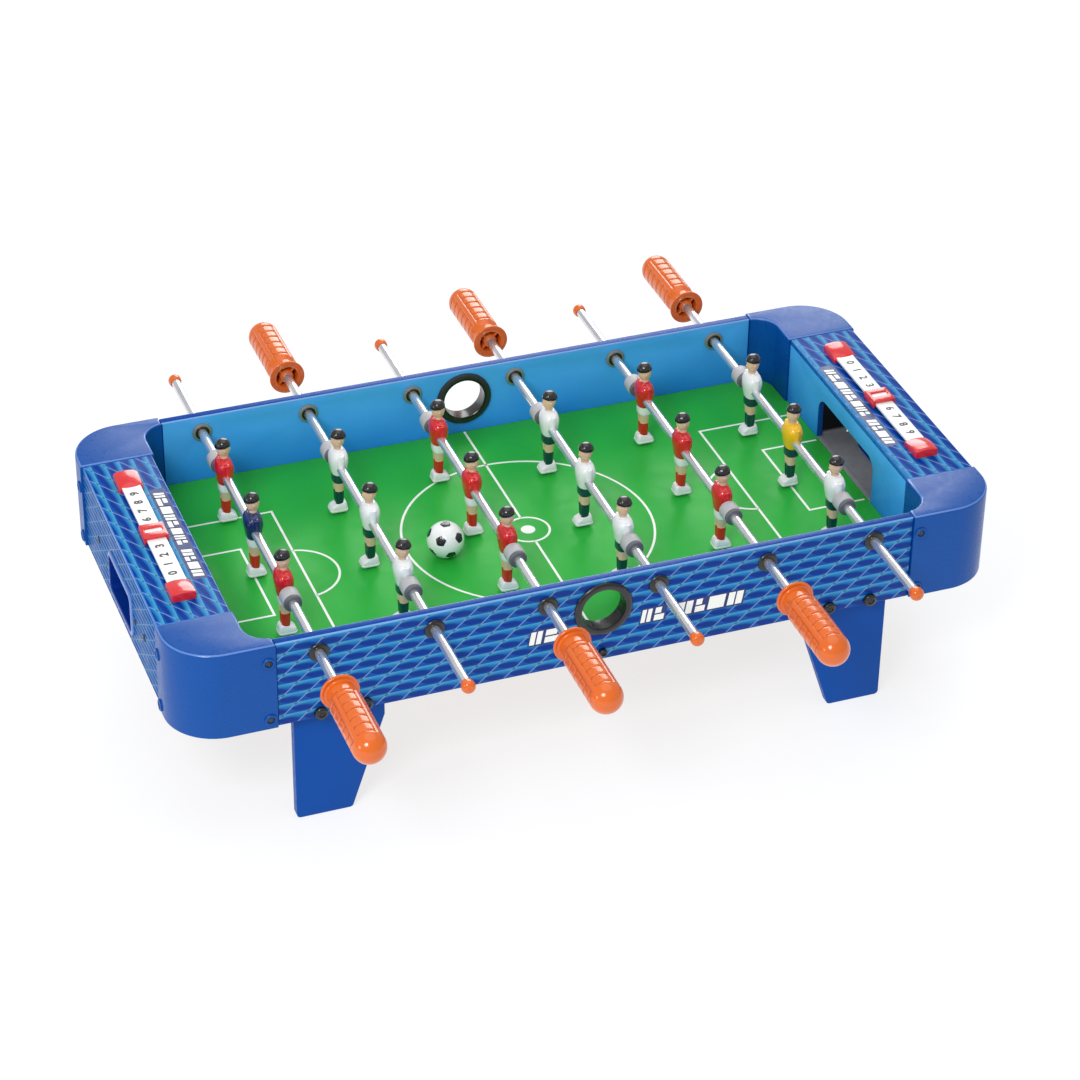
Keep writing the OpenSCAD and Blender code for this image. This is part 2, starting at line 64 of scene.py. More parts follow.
def middle(node):
    """Middle of a CAD node's box, in millimetres."""
    low, high = span(node)
    return (low + high) / 2


# ---------- sizes that the frame gives ----------

PANEL_LOW, PANEL_HIGH = span("side_panel_back")
PANEL_IN, PANEL_OUT = PANEL_LOW.y, PANEL_HIGH.y
BODY_BOTTOM, BODY_TOP = PANEL_LOW.z, PANEL_HIGH.z
BODY_H = BODY_TOP - BODY_BOTTOM
PANEL_END = PANEL_HIGH.x
INNER_LOW, INNER_HIGH = span("end_inner_wall_right")
OUTER_LOW, OUTER_HIGH = span("end_outer_wall_right")
END_TOP_LOW, END_TOP_HIGH = span("end_top_right")
END_HALF = END_TOP_HIGH.y
CORNER_HIGH = span("corner_back_right")[1]
PITCH_TOP = span("playfield")[1].z
TRAY_LOW, TRAY_HIGH = span("goal_tray_right")
ROD_Z = middle("rod_tube_1").z
ROD_R = span("rod_tube_1")[1].z - ROD_Z
ROD_X = {i: middle(f"rod_tube_{i}").x for i in RODS}
HANDLE_SIDE = {i: -1 if i % 2 else 1 for i in RODS}
SERVE_Z = middle("serve_rings").z
BOSS_H = 1.5
CORNER_X = CORNER_HIGH.x - BOSS_H
CORNER_Y = CORNER_HIGH.y - BOSS_H

# ---------- sizes that only show inside a node ----------

CORNER_R = 42
CORNER_IN_R = 20
CORNER_SKIN = 3.5
CORNER_IN_X = INNER_LOW.x - 2
CORNER_IN_Y = PANEL_IN - 1
SERVE_IN_R, SERVE_BARREL_R, SERVE_OUT_R, SERVE_FLANGE = 18.2, 20.5, 24.5, 2.6
BUSH_BARREL_R, BUSH_FLANGE_R, BUSH_FLANGE = 6.2, 8.4, 2
# the running gap round a rod, and the small gap between parts that only touch
RUN_GAP = 0.06
FIT = 0.02
GOAL_HALF, GOAL_H, GOAL_R = 55, 40, 12
RETURN_HALF, RETURN_LOW, RETURN_HIGH, RETURN_R, RETURN_RIM = 35, 113, 149, 6, 2.6
LEG_OUT, LEG_IN, LEG_FOOT_IN, LEG_SLOPE_Z = 252, 178, 205, 85
LEG_BOLT_X, LEG_BOLT_Z = (196.2, 232.4), 106
MIDDLE_BOLT_LIFT, MIDDLE_BOLT_SHARE = 2.5, 0.65
PLAYER_PITCH, PLAYER_SHIFT = 86, 8.5
SCORE_X, SCORE_HALF, SCORE_W, SCORE_BRACKET = 316, 93, 20, 23
STRIP_W, STRIP_Z, STRIP_TOP = 15.5, 180, 182.5
MARKER_HALF = 10

# ---------- vectors, places ----------


def turn(angle, axis):
    return Matrix.Rotation(math.radians(angle), 4, axis)


def shift(x, y, z):
    return Matrix.Translation((x, y, z))


def mirror(x=1, y=1):
    """A mirror of X or Y, by sign."""
    return Matrix.Diagonal((x, y, 1, 1))


HERE = Matrix()
# local Z along +Y, local X along +X: for pieces that are turned about a rod
ALONG_Y = turn(-90, "X")
# local X, Y and Z to X, Z and -Y: for a board that stands along the table
STAND_X = turn(90, "X")
# local X, Y and Z to Y, Z and X: for a board that stands across the table
STAND_Y = Matrix(((0, 0, 1, 0), (1, 0, 0, 0), (0, 1, 0, 0), (0, 0, 0, 1)))


def arc(cx, cy, r, start, end, steps):
    """Points on an arc, angles in degrees."""
    points = []
    for k in range(steps + 1):
        a = math.radians(start + (end - start) * k / steps)
        points.append((cx + r * math.cos(a), cy + r * math.sin(a)))
    return points


def quarter(steps):
    """Cosine and sine at equal steps over a quarter of a circle, with both ends."""
    return arc(0, 0, 1, 0, 90, steps)


def around(steps):
    """Cosine, sine and angle at equal steps round a circle."""
    for k in range(steps):
        a = 2 * math.pi * k / steps
        yield math.cos(a), math.sin(a), a


def rounded(x0, y0, x1, y1, r, steps=6):
    """A rectangle with round corners, anticlockwise."""
    return (
        arc(x1 - r, y0 + r, r, -90, 0, steps)
        + arc(x1 - r, y1 - r, r, 0, 90, steps)
        + arc(x0 + r, y1 - r, r, 90, 180, steps)
        + arc(x0 + r, y0 + r, r, 180, 270, steps)
    )


def hole(cx, cy, r, steps=40):
    """A round hole, clockwise."""
    return arc(cx, cy, r, 360, 0, steps)[:-1]


def mitre(a, b):
    """The offset to the left at a bend from direction a to b, for a distance of 1."""
    across = Vector((-a.y - b.y, a.x + b.x))
    return across / max(0.35, across.length_squared / 2)


def inset(loop, d):
    """Moves a loop to its left by d, into the material."""
    out = []
    for k, p in enumerate(loop):
        here = Vector(p)
        a = (here - Vector(loop[k - 1])).normalized()
        b = (Vector(loop[(k + 1) % len(loop)]) - here).normalized()
        out.append(here + d * mitre(a, b))
    return out


# ---------- meshes ----------


class Shape:
    """Closed solids in millimetres, each face with the number of its material."""

    def __init__(self):
        self.bm = bmesh.new()

    def row(self, points, place):
        return [self.bm.verts.new(place @ Vector(p)) for p in points]

    def face(self, corners, kind):
        made = self.bm.faces.new(corners)
        made.material_index = kind
        return made

    def skin(self, rows, kinds):
        """Bands of faces between rows of points. A row of one point is a tip."""
        if isinstance(kinds, int):
            kinds = [kinds] * len(rows)
        faces = []
        for low, high, kind in zip(rows, rows[1:], kinds):
            count = max(len(low), len(high))
            for k in range(count):
                n = (k + 1) % count
                if len(low) == 1:
                    corners = (low[0], high[n], high[k])
                elif len(high) == 1:
                    corners = (low[k], low[n], high[0])
                else:
                    corners = (low[k], low[n], high[n], high[k])
                faces.append(self.face(corners, kind))
        return faces

    def rings(self, rings, kinds=0, place=HERE, caps=True):
        """Skins rings of the same number of points; kinds is one number or one for each band."""
        rows = [self.row(ring, place) for ring in rings]
        faces = self.skin(rows, kinds)
        if caps:
            first, last = (kinds, kinds) if isinstance(kinds, int) else (kinds[0], kinds[-1])
            faces.append(self.face(rows[0][::-1], first))
            faces.append(self.face(rows[-1], last))
        bmesh.ops.recalc_face_normals(self.bm, faces=faces)

    def lathe(self, profile, kind=0, place=HERE, steps=48, bend=None):
        """Turns a profile of (radius, height) about Z. Its ends are on the axis, or else are joined."""
        rows = []
        for r, h in profile:
            ring = []
            for c, d, a in around(steps):
                bent = bend(r, h, a) if bend else r
                ring.append((bent * c, bent * d, h))
            rows.append(self.row(ring if r else [(0, 0, h)], place))
        if profile[0][0] and profile[-1][0]:
            rows.append(rows[0])
        bmesh.ops.recalc_face_normals(self.bm, faces=self.skin(rows, kind))

    def board(self, outline, low, high, edge=0.6, holes=(), place=HERE, kinds=(0, 0, 0), steps=3):
        """A board with eased edges and holes. kinds are its low face, its edges and its high face."""
        levels = [(edge * (1 - d), low + edge * (1 - c)) for c, d in quarter(steps)]
        levels += [(d, high + low - z) for d, z in reversed(levels)]
        caps = ([], [])
        faces = []
        for loop in (outline, *holes):
            rows = []
            for d, z in levels:
                ring = inset(loop, d) if d > 1e-9 else loop
                rows.append(self.row([(x, y, z) for x, y in ring], place))
            faces += self.skin(rows, kinds[1])
            for cap, row in zip(caps, (rows[0], rows[-1])):
                cap += [self.bm.edges.get(ends) for ends in zip(row, row[1:] + row[:1])]
        for cap, kind in zip(caps, (kinds[0], kinds[2])):
            made = bmesh.ops.triangle_fill(self.bm, edges=cap, use_beauty=True)["geom"]
            for face in (f for f in made if isinstance(f, bmesh.types.BMFace)):
                face.material_index = kind
                faces.append(face)
        bmesh.ops.recalc_face_normals(self.bm, faces=faces)

    def bar(self, low, high, edge=0.4, kind=0, place=HERE):
        """A box with eased edges all round."""
        outline = rounded(low[0], low[1], high[0], high[1], edge * 1.5, 3)
        self.board(outline, low[2], high[2], edge, (), place, (kind,) * 3, 2)

    def move(self, place):
        """Moves all that is made so far. A mirror also turns the faces round."""
        bmesh.ops.transform(self.bm, matrix=place, verts=self.bm.verts)
        if place.determinant() < 0:
            bmesh.ops.reverse_faces(self.bm, faces=self.bm.faces)

    def piece(self, name, materials, body, replaces=(), smooth=35):
        """Makes the object. materials is their names, in the order of their numbers."""
        mesh = bpy.data.meshes.new(name)
        self.move(Matrix.Scale(MM, 4))
        self.bm.normal_update()
        self.bm.to_mesh(mesh)
        self.bm.free()
        for material in materials.split():
            mesh.materials.append(M[material])
        mesh.shade_smooth()
        mesh.set_sharp_from_angle(angle=math.radians(smooth))
        obj = bpy.data.objects.new(name, mesh)
        bpy.context.scene.collection.objects.link(obj)
        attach(obj, body)
        if replaces:
            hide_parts(*replaces)


# ---------- materials ----------

# every material, by the name it is made with
M = {}


class Paint:
    """A Principled material whose colour, roughness and bump come from nodes."""

    def __init__(self, name, **sockets):
        self.mat = M[name] = bpy.data.materials.new(name)
        self.mat.use_nodes = True
        self.tree = self.mat.node_tree
        self.shader = self.tree.nodes["Principled BSDF"]
        for key, value in sockets.items():
            self.shader.inputs[key.replace("_", " ")].default_value = value
        self.where = None

    def node(self, kind, **settings):
        made = self.tree.nodes.new(kind)
        for key, value in settings.items():
            setattr(made, key, value)
        return made

    def link(self, value, socket):
        """Links a socket to a socket; a plain value is set on it."""
        if isinstance(value, bpy.types.NodeSocket):
            self.tree.links.new(value, socket)
        else:
            socket.default_value = value

    def point(self):
        """Object coordinates in millimetres."""
        if self.where is None:
            scale = self.node("ShaderNodeVectorMath", operation="SCALE")
            self.link(self.node("ShaderNodeTexCoord").outputs["Object"], scale.inputs[0])
            scale.inputs["Scale"].default_value = 1 / MM
            self.where = scale.outputs[0]
        return self.where

    def axes(self):
        split = self.node("ShaderNodeSeparateXYZ")
        self.link(self.point(), split.inputs[0])
        return split.outputs

    def math(self, operation, a, b=0.0, c=0.0):
        made = self.node("ShaderNodeMath", operation=operation)
        for value, socket in zip((a, b, c), made.inputs):
            self.link(value, socket)
        return made.outputs[0]

    def sub(self, a, b):
        return self.math("SUBTRACT", a, b)

    def mul(self, a, b):
        return self.math("MULTIPLY", a, b)

    def muladd(self, a, b, c):
        return self.math("MULTIPLY_ADD", a, b, c)

    def ramp(self, value, low, high, start=0.0, end=1.0):
        """A smooth step from start to end."""
        made = self.node("ShaderNodeMapRange", interpolation_type="SMOOTHSTEP")
        for item, socket in zip((value, low, high, start, end), made.inputs):
            self.link(item, socket)
        return made.outputs[0]

    def mix(self, share, a, b):
        made = self.node("ShaderNodeMix", data_type="RGBA")
        self.link(share, made.inputs[0])
        self.link(a, made.inputs[6])
        self.link(b, made.inputs[7])
        return made.outputs[2]

    def noise(self, size, detail, stretch=(1, 1, 1)):
        """Noise from 0 to 1 whose features are about size millimetres."""
        place = self.node("ShaderNodeVectorMath", operation="MULTIPLY")
        self.link(self.point(), place.inputs[0])
        place.inputs[1].default_value = stretch
        made = self.node("ShaderNodeTexNoise")
        self.link(place.outputs[0], made.inputs["Vector"])
        made.inputs["Scale"].default_value = 1 / size
        made.inputs["Detail"].default_value = detail
        return made.outputs[0]

    def colour(self, value):
        self.link(value, self.shader.inputs["Base Color"])

    def rough(self, low, high, size=6.0, stretch=(1, 1, 1)):
        """Roughness between two values, uneven at about size millimetres."""
        uneven = self.ramp(self.noise(size, 4, stretch), 0.3, 0.7, low, high)
        self.link(uneven, self.shader.inputs["Roughness"])

    def grain(self, size, detail, depth, stretch=(1, 1, 1)):
        """A fine relief that is depth millimetres high."""
        made = self.node("ShaderNodeBump")
        made.inputs["Strength"].default_value = 1
        made.inputs["Distance"].default_value = depth * MM
        self.link(self.noise(size, detail, stretch), made.inputs["Height"])
        self.link(made.outputs[0], self.shader.inputs["Normal"])


def rgb(r, g, b):
    """A colour given as it looks on a screen, from 0 to 255, for a shader."""
    out = []
    for v in (r, g, b):
        v /= 255
        out.append(v / 12.92 if v <= 0.04045 else ((v + 0.055) / 1.055) ** 2.4)
    return (*out, 1)


def darker(colour, share):
    """A shader's colour with its red, green and blue multiplied by share."""
    return (*(v * share for v in colour[:3]), 1)


def moulded(name, colour, shade, low, high, coat=0.0, specular=0.5, subsurface=0.0):
    """Moulded plastic: slight flow marks in the colour, uneven gloss and a fine skin."""
    p = Paint(name, Coat_Weight=coat, Coat_Roughness=0.08, Specular_IOR_Level=specular)
    p.shader.inputs["Subsurface Weight"].default_value = subsurface
    base = rgb(*colour)
    p.colour(p.mix(p.ramp(p.noise(34, 2), 0.3, 0.75), base, darker(base, shade)))
    p.rough(low, high)
    p.grain(1.4, 2, 0.0008)


def foil(name, colour, deep):
    """Plain printed foil on fibreboard, uneven in tone, with painted shade that deepens its colour a little
    towards its lower edge.
    """
    p = Paint(name, Specular_IOR_Level=0.25)
    # painted shade: the colour deepens towards the lower edge
    down = p.ramp(p.axes()[2], BODY_BOTTOM, BODY_TOP, 1.0, 0.0)
    uneven = p.muladd(p.noise(60, 2), 0.5, p.mul(down, 0.75))
    p.colour(p.mix(p.sub(uneven, 0.2), rgb(*colour), rgb(*deep)))
    p.rough(0.3, 0.42, 9)
    p.grain(1.6, 4, 0.025)


ROYAL, MID_BLUE, SKY, PALE = (0, 50, 138), (0, 80, 166), (22, 122, 188), (80, 156, 190)
PRINT_LINE, PRINT_SPECK = (150, 166, 190), (28, 48, 76)
# shares of a row's height
LEAF_MIDDLE, SPECK_HEIGHT = 0.36, 0.88


def woven(p, along, across, length, height, slant):
    """Rows of slender leaf shapes, royal blue on paler blue, with thin slanted lines and dark specks."""
    row = p.math("FRACT", p.math("DIVIDE", across, height))
    step = p.math("FRACT", p.math("DIVIDE", p.sub(along, p.mul(across, slant)), length))
    aside = p.sub(step, 0.5)
    belly = p.math("SINE", p.mul(step, math.pi))
    colour = p.mix(p.ramp(row, 0.35, 0.8), rgb(*MID_BLUE), rgb(*SKY))
    pale = p.ramp(p.muladd(belly, -0.12, row), 0.6, 0.9)
    colour = p.mix(p.mul(pale, 0.8), colour, rgb(*PALE))
    # each leaf leans across its row, crisp below and soft above, and is pointed only at its ends
    lean = p.sub(p.muladd(aside, 0.3, row), LEAF_MIDDLE)
    girth = p.math("POWER", belly, 0.8)
    over = p.ramp(p.muladd(girth, 0.25, lean), -0.02, 0.06)
    under = p.ramp(p.muladd(girth, -0.24, lean), -0.08, 0.18)
    colour = p.mix(p.mul(over, p.sub(1.0, under)), colour, rgb(*ROYAL))
    # a line runs between the leaves' ends, and a speck lies on it near the top of each row
    from_line = p.sub(0.5, p.math("ABSOLUTE", aside))
    line = p.sub(1.0, p.ramp(from_line, 0.016, 0.04))
    colour = p.mix(p.mul(line, 0.7), colour, rgb(*PRINT_LINE))
    speck = p.math("POWER", p.mul(from_line, length / 1.4), 2.0)
    lift = p.math("POWER", p.mul(p.sub(row, SPECK_HEIGHT), height / 0.9), 2.0)
    dark = p.ramp(p.math("SQRT", p.math("ADD", speck, lift)), 0.5, 1.2, 0.2, 1.0)
    return p.mix(p.sub(1.0, dark), colour, rgb(*PRINT_SPECK))


def printed(name, along, across, length, height, start, slant, gloss):
    """Printed foil: axes 0 to 2 that its rows run along and across, a leaf's length and a row's height."""
    p = Paint(name, Specular_IOR_Level=gloss)
    axes = p.axes()
    p.colour(woven(p, axes[along], p.sub(axes[across], start), length, height, slant))
    p.rough(0.28, 0.38, 9)
    p.grain(1.6, 4, 0.015)


def tray():
    """Moulded grey tray, its floor uneven in tone, its walls painted near black as shade inside the goal.
    """
    p = Paint("tray_plastic", Specular_IOR_Level=0.3)
    floor = p.mix(p.noise(8, 3), rgb(150, 152, 156), rgb(124, 126, 130))
    # painted shade: above the floor the colour turns near black
    p.colour(p.mix(p.ramp(p.axes()[2], PITCH_TOP + 1, PITCH_TOP + 5), floor, rgb(14, 15, 18)))
    p.rough(0.4, 0.55)
    p.grain(0.9, 3, 0.01)


# one light and one dark mown stripe together
STRIPE_W = 93


def turf():
    """Printed green pitch: broad soft mown stripes and a fine grain."""
    p = Paint("pitch_print", Specular_IOR_Level=0.1)
    stripe = p.math("SINE", p.mul(p.axes()[0], 2 * math.pi / STRIPE_W))
    share = p.muladd(p.ramp(stripe, -0.5, 0.5), 0.35, p.mul(p.noise(120, 2), 0.5))
    colour = p.mix(share, rgb(56, 182, 66), rgb(38, 175, 65))
    p.colour(p.mix(p.mul(p.noise(1.2, 4), 0.25), colour, rgb(20, 128, 44)))
    p.rough(0.3, 0.42, 12)
    p.grain(1.1, 4, 0.03)


def chrome():
    """Bright plated tube, with faint marks round it from polishing."""
    p = Paint("rod_chrome", Metallic=0.8)
    p.colour(p.mix(p.ramp(p.noise(30, 3), 0.3, 0.7), rgb(236, 237, 240), rgb(214, 216, 222)))
    p.rough(0.17, 0.27, 2, (1, 8, 1))
    p.grain(1.0, 3, 0.004, (1, 6, 1))


def steel(name, colour):
    """Dark plated steel, blotchy in colour."""
    p = Paint(name, Metallic=1.0)
    p.colour(p.mix(p.noise(3, 3), rgb(*colour), rgb(*(v * 0.6 for v in colour))))
    p.rough(0.3, 0.5, 2)
    p.grain(0.8, 3, 0.02)


def raw_board():
    """Bare fibreboard, dull and fibrous."""
    p = Paint("raw_fibreboard")
    p.colour(p.mix(p.noise(1.5, 6), rgb(176, 142, 102), rgb(140, 108, 74)))
    p.rough(0.75, 0.9, 3)
    p.grain(0.7, 5, 0.08)


def sleeve_rubber(name, colour):
    """Dull rubber with a fine skin."""
    p = Paint(name)
    base = rgb(*colour)
    p.colour(p.mix(p.noise(5, 4), base, darker(base, 0.8)))
    p.rough(0.42, 0.6, 3)
    p.grain(0.6, 4, 0.04)


# screen colour, its share in the flow marks, least and most roughness; coat, specular, subsurface
PLASTICS = {
    "white_print": ((244, 247, 242), 0.97, 0.32, 0.44),
    "edge_blue": ((4, 66, 152), 0.97, 0.24, 0.3, 0.0, 0.1),
    # a paler blue: painted highlight on the long panels' rounded top edges
    "rim_light": ((112, 164, 224), 0.96, 0.16, 0.26, 0.2),
    "corner_blue": ((4, 77, 158), 0.98, 0.26, 0.34, 0.0, 0.22),
    # a darker copy of the corner blue: painted shade on inner faces
    "corner_deep": ((2, 46, 136), 0.96, 0.26, 0.36, 0.0, 0.2),
    # a paler corner blue: painted highlight on rounded edges and the ball return's rim
    "corner_rim": ((88, 128, 200), 0.97, 0.2, 0.28, 0.2),
    "top_edge": ((30, 116, 196), 0.96, 0.24, 0.34),
    "leg_blue": ((2, 74, 160), 0.98, 0.34, 0.44, 0.0, 0.14),
    "black_plastic": ((18, 18, 20), 0.7, 0.24, 0.36, 0.25),
    "dark_grey_plastic": ((44, 45, 48), 0.8, 0.36, 0.5),
    "bush_ring": ((126, 129, 124), 0.85, 0.22, 0.34, 0.3),
    "strip_white": ((246, 246, 246), 0.97, 0.2, 0.3, 0.2),
    "ink_black": ((30, 30, 34), 0.8, 0.3, 0.4),
    "navy_print": ((14, 44, 112), 0.9, 0.3, 0.4),
    "scorer_red": ((222, 36, 42), 0.88, 0.14, 0.24, 0.5),
    "handle_orange": ((222, 102, 22), 0.96, 0.14, 0.2, 0.3),
    # a darker orange: painted shade in the grip's grooves
    "handle_groove": ((198, 82, 18), 0.94, 0.24, 0.34),
    "ball_white": ((244, 244, 244), 0.96, 0.14, 0.22, 0.5),
    "ball_black": ((24, 24, 26), 0.8, 0.16, 0.24, 0.5),
    "figure_hair": ((22, 20, 20), 0.7, 0.16, 0.26, 0.5),
    "figure_skin": ((236, 194, 164), 0.95, 0.26, 0.36, 0.2, 0.5, 0.1),
    "kit_red": ((214, 22, 32), 0.86, 0.14, 0.24, 0.5),
    "kit_white": ((238, 240, 242), 0.95, 0.16, 0.26, 0.5),
    "kit_navy": ((24, 38, 96), 0.8, 0.14, 0.24, 0.5),
    "kit_yellow": ((250, 196, 26), 0.9, 0.16, 0.26, 0.5),
    "kit_green": ((12, 62, 66), 0.8, 0.16, 0.26, 0.5),
    "boot_white": ((236, 236, 238), 0.94, 0.2, 0.3, 0.4),
}
for name, values in PLASTICS.items():
    moulded(name, *values)
turf()
tray()
chrome()
raw_board()
steel("dark_screw", (92, 92, 96))
foil("wall_blue", (80, 178, 252), (14, 128, 236))
printed("panel_print", 0, 2, 21.0, BODY_H / 8, BODY_BOTTOM, 1.15, 0.14)
printed("top_print", 1, 0, 21.0, 11.66, 0.0, -1.44, 0.05)
printed("wall_print", 1, 2, 22.0, BODY_H / 12, BODY_BOTTOM, -1.53, 0.02)
sleeve_rubber("bumper_sleeve", (188, 188, 192))
# a darker grey: painted shade on the -Y ends of the sleeves
sleeve_rubber("bumper_ring", (104, 105, 110))

# ---------- pitch ----------


def make_playfield():
    """The board reaches under the corner pieces, so its round corners match theirs."""
    s = Shape()
    bottom = span("playfield")[0].z
    x, y = CORNER_IN_X - 0.4, PANEL_IN - 0.4
    s.board(rounded(-x, -y, x, y, CORNER_IN_R, 12), bottom, PITCH_TOP, 0.25, kinds=(1, 1, 0))
    for side in SIDES:
        # the tongue that runs on under the goal mouth
        a, b = sorted((side * (CORNER_IN_X - 2), side * (INNER_LOW.x - 0.2)))
        s.bar((a, -END_HALF + 1, bottom + FIT), (b, END_HALF - 1, PITCH_TOP - FIT), 0.1)
    s.piece("playfield_board", "pitch_print raw_fibreboard", "table", ["playfield"])


LINE_W = 2.0
LINE_LIFT = 0.12
LINE_SINK = 0.2


def flat_band(s, points, closed=False):
    """A painted line that follows points on the pitch."""
    z0, z1 = PITCH_TOP - LINE_SINK, PITCH_TOP + LINE_LIFT
    rings = []
    count = len(points)
    for k, p in enumerate(points):
        here = Vector(p)
        after = (Vector(points[(k + 1) % count]) - here).normalized() if closed or k < count - 1 else None
        before = (here - Vector(points[k - 1])).normalized() if closed or k else after
        after = before if after is None else after
        across = mitre(before, after) * LINE_W / 2
        a, b = here + across, here - across
        rings.append([(a.x, a.y, z0), (b.x, b.y, z0), (b.x, b.y, z1), (a.x, a.y, z1)])
    if closed:
        rings.append(rings[0])
    s.rings(rings, caps=not closed)


def make_pitch_lines():
    """Half-way line, circles, goal boxes and areas, printed in white."""
    s = Shape()
    circle_r, spot_r, kick_off_r = 105.4, 18.1, 6
    box_x, box_y, area_x, area_y = 233.3, 49.8, 193.4, 95.6
    bulge_x, bulge_y = 165, 34
    edge_x, edge_y = CORNER_IN_X - 1, PANEL_IN - 1.5
    for y in ((-edge_y, -circle_r), (-circle_r, -spot_r), (spot_r, circle_r), (circle_r, edge_y)):
        flat_band(s, [(0, y[0]), (0, y[1])])
    for r in (circle_r, spot_r):
        flat_band(s, arc(0, 0, r, 0, 360, 96)[:-1], True)
    low, high = PITCH_TOP - LINE_SINK, PITCH_TOP + LINE_LIFT
    s.lathe([(0, low), (kick_off_r, low), (kick_off_r, high), (0, high)])
    # the bulge is an arc through its tip and its two ends on the area's line
    depth = area_x - bulge_x
    bulge_r = (bulge_y**2 + depth**2) / (2 * depth)
    reach = math.degrees(math.asin(bulge_y / bulge_r))
    bulge = arc(bulge_x + bulge_r, 0, bulge_r, 180 - reach, 180 + reach, 24)
    for side in SIDES:
        for x, y in ((box_x, box_y), (area_x, area_y)):
            flat_band(s, [(side * edge_x, -y), (side * x, -y), (side * x, y), (side * edge_x, y)])
        flat_band(s, [(side * x, y) for x, y in bulge])
    s.piece("pitch_lines", "white_print", "table", smooth=30)


# ---------- long panels ----------


def make_side_panel(side):
    """Printed outside, plain blue inside, with a painted highlight on its rounded top edges."""
    s = Shape()
    holes = [hole(ROD_X[i], ROD_Z, BUSH_BARREL_R) for i in RODS]
    holes.append(hole(0, SERVE_Z, SERVE_BARREL_R, 64))
    # STAND_X sends local Z to -Y, so the low face is the one towards +Y
    low, high = (-PANEL_OUT, -PANEL_IN) if side > 0 else (PANEL_IN, PANEL_OUT)
    kinds = (0, 1, 2) if side > 0 else (2, 1, 0)
    outline = rounded(-PANEL_END + 0.05, BODY_BOTTOM, PANEL_END - 0.05, BODY_TOP, 0.9, 3)
    s.board(outline, low, high, 1.1, holes, STAND_X, kinds)
    # the rounded top edges get a painted highlight in a paler blue
    for face in s.bm.faces:
        normal = face.normal
        if face.calc_center_median().z > BODY_TOP - 1.2 and normal.z > 0.1 and abs(normal.y) > 0.2:
            face.material_index = 3
    name = LONG_NAME[side]
    looks = "panel_print edge_blue wall_blue rim_light"
    s.piece(f"long_panel_{name}", looks, "table", [f"side_panel_{name}"])


# the motif's bars: their widths, where 0 is a space, then the start, gaps, border, cut and lean
BAR_WIDTHS = (7, 11, 11, 8, 9, 9, 6, 6, 0, 9, 6, 10, 9)
BAR_START, BAR_GAP, BAR_SPACE = -62, 1.9, 6
BAR_RIM, BAR_CUT, BAR_LEAN = 1.4, 1.3, 0.18


def slanted_bar(s, x, z, w, h, lift, kind):
    """A flat bar that leans to the right, on the outside of a board drawn in local X and Y."""
    lean = BAR_LEAN * h
    outline = [(x, z), (x + w, z), (x + w + lean, z + h), (x + lean, z + h)]
    s.board(outline, -0.2, lift, min(0.05, lift / 2), kinds=(kind,) * 3, steps=1)


def bar_row(s, low, height, scale, skip=None):
    """A row of slanted white bars on navy ones, some cut in two. skip is a stretch left free."""
    x = BAR_START
    for k, w in enumerate(BAR_WIDTHS):
        if w == 0:
            x += BAR_SPACE * scale
            continue
        w *= scale
        if not (skip and x + w > skip[0] and x < skip[1]):
            rim = BAR_RIM
            slanted_bar(s, x - rim, low - rim, w + 2 * rim, height + 2 * rim, 0.08, 0)
            parts = [(x, low, w, height)]
            if k % 3 == 0:
                half = (w - BAR_CUT) / 2
                parts = [(x, low, half, height), (x + half + BAR_CUT, low, half, height)]
            elif k % 3 == 1:
                half = (height - BAR_CUT) / 2
                rise = half + BAR_CUT
                parts = [(x, low, w, half), (x + BAR_LEAN * rise, low + rise, w * 0.62, half)]
            for part in parts:
                slanted_bar(s, *part, 0.14, 1)
        x += w + BAR_GAP * scale


def make_panel_motif(side):
    """A generic row of slanted white bars on each long panel, in place of lettering."""
    s = Shape()
    bar_row(s, 128.5, 12, 1.41, (-27, 27))
    place = STAND_X if side < 0 else turn(180, "Z") @ STAND_X
    s.move(place @ shift(0, 0, PANEL_OUT))
    s.piece(f"panel_motif_{LONG_NAME[side]}", "navy_print white_print", "table")


# ---------- ends ----------


def end_outline(top):
    """An end wall's outline up to a height."""
    return [(-END_HALF, BODY_BOTTOM), (END_HALF, BODY_BOTTOM), (END_HALF, top), (-END_HALF, top)]


def make_inner_wall(side):
    """The goal's wall, with the mouth cut up into it from the pitch."""
    s = Shape()
    crown_y, crown_z = GOAL_HALF - GOAL_R, PITCH_TOP + GOAL_H - GOAL_R
    mouth = [(-GOAL_HALF, PITCH_TOP)]
    mouth += arc(-crown_y, crown_z, GOAL_R, 180, 90, 10) + arc(crown_y, crown_z, GOAL_R, 90, 0, 10)
    mouth += [(GOAL_HALF, PITCH_TOP)]
    # its face towards the goal is black, painted shade inside the goal
    s.board(end_outline(INNER_HIGH.z), INNER_LOW.x, INNER_HIGH.x, 0.5, [mouth], STAND_Y, (0, 1, 2))
    # the sill of the mouth has the tray's colour
    for face in s.bm.faces:
        at = face.calc_center_median()
        if abs(at.z - PITCH_TOP) < 0.8 and abs(at.y) < GOAL_HALF:
            face.material_index = 3
    s.move(mirror(side))
    name = END_NAME[side]
    looks = "wall_blue corner_blue black_plastic tray_plastic"
    s.piece(f"goal_wall_{name}", looks, "table", [f"end_inner_wall_{name}"])


def make_outer_wall(side):
    """The printed end wall, with the notch of the ball return."""
    s = Shape()
    notch = rounded(-RETURN_HALF, RETURN_LOW, RETURN_HALF, RETURN_HIGH, RETURN_R, 8)[::-1]
    # its inner face is black, painted shade behind the notch
    s.board(end_outline(OUTER_HIGH.z), OUTER_LOW.x, OUTER_HIGH.x, 0.4, [notch], STAND_Y, (2, 1, 0))
    s.move(mirror(side))
    name = END_NAME[side]
    looks = "wall_print edge_blue black_plastic"
    s.piece(f"outer_wall_{name}", looks, "table", [f"end_outer_wall_{name}"])


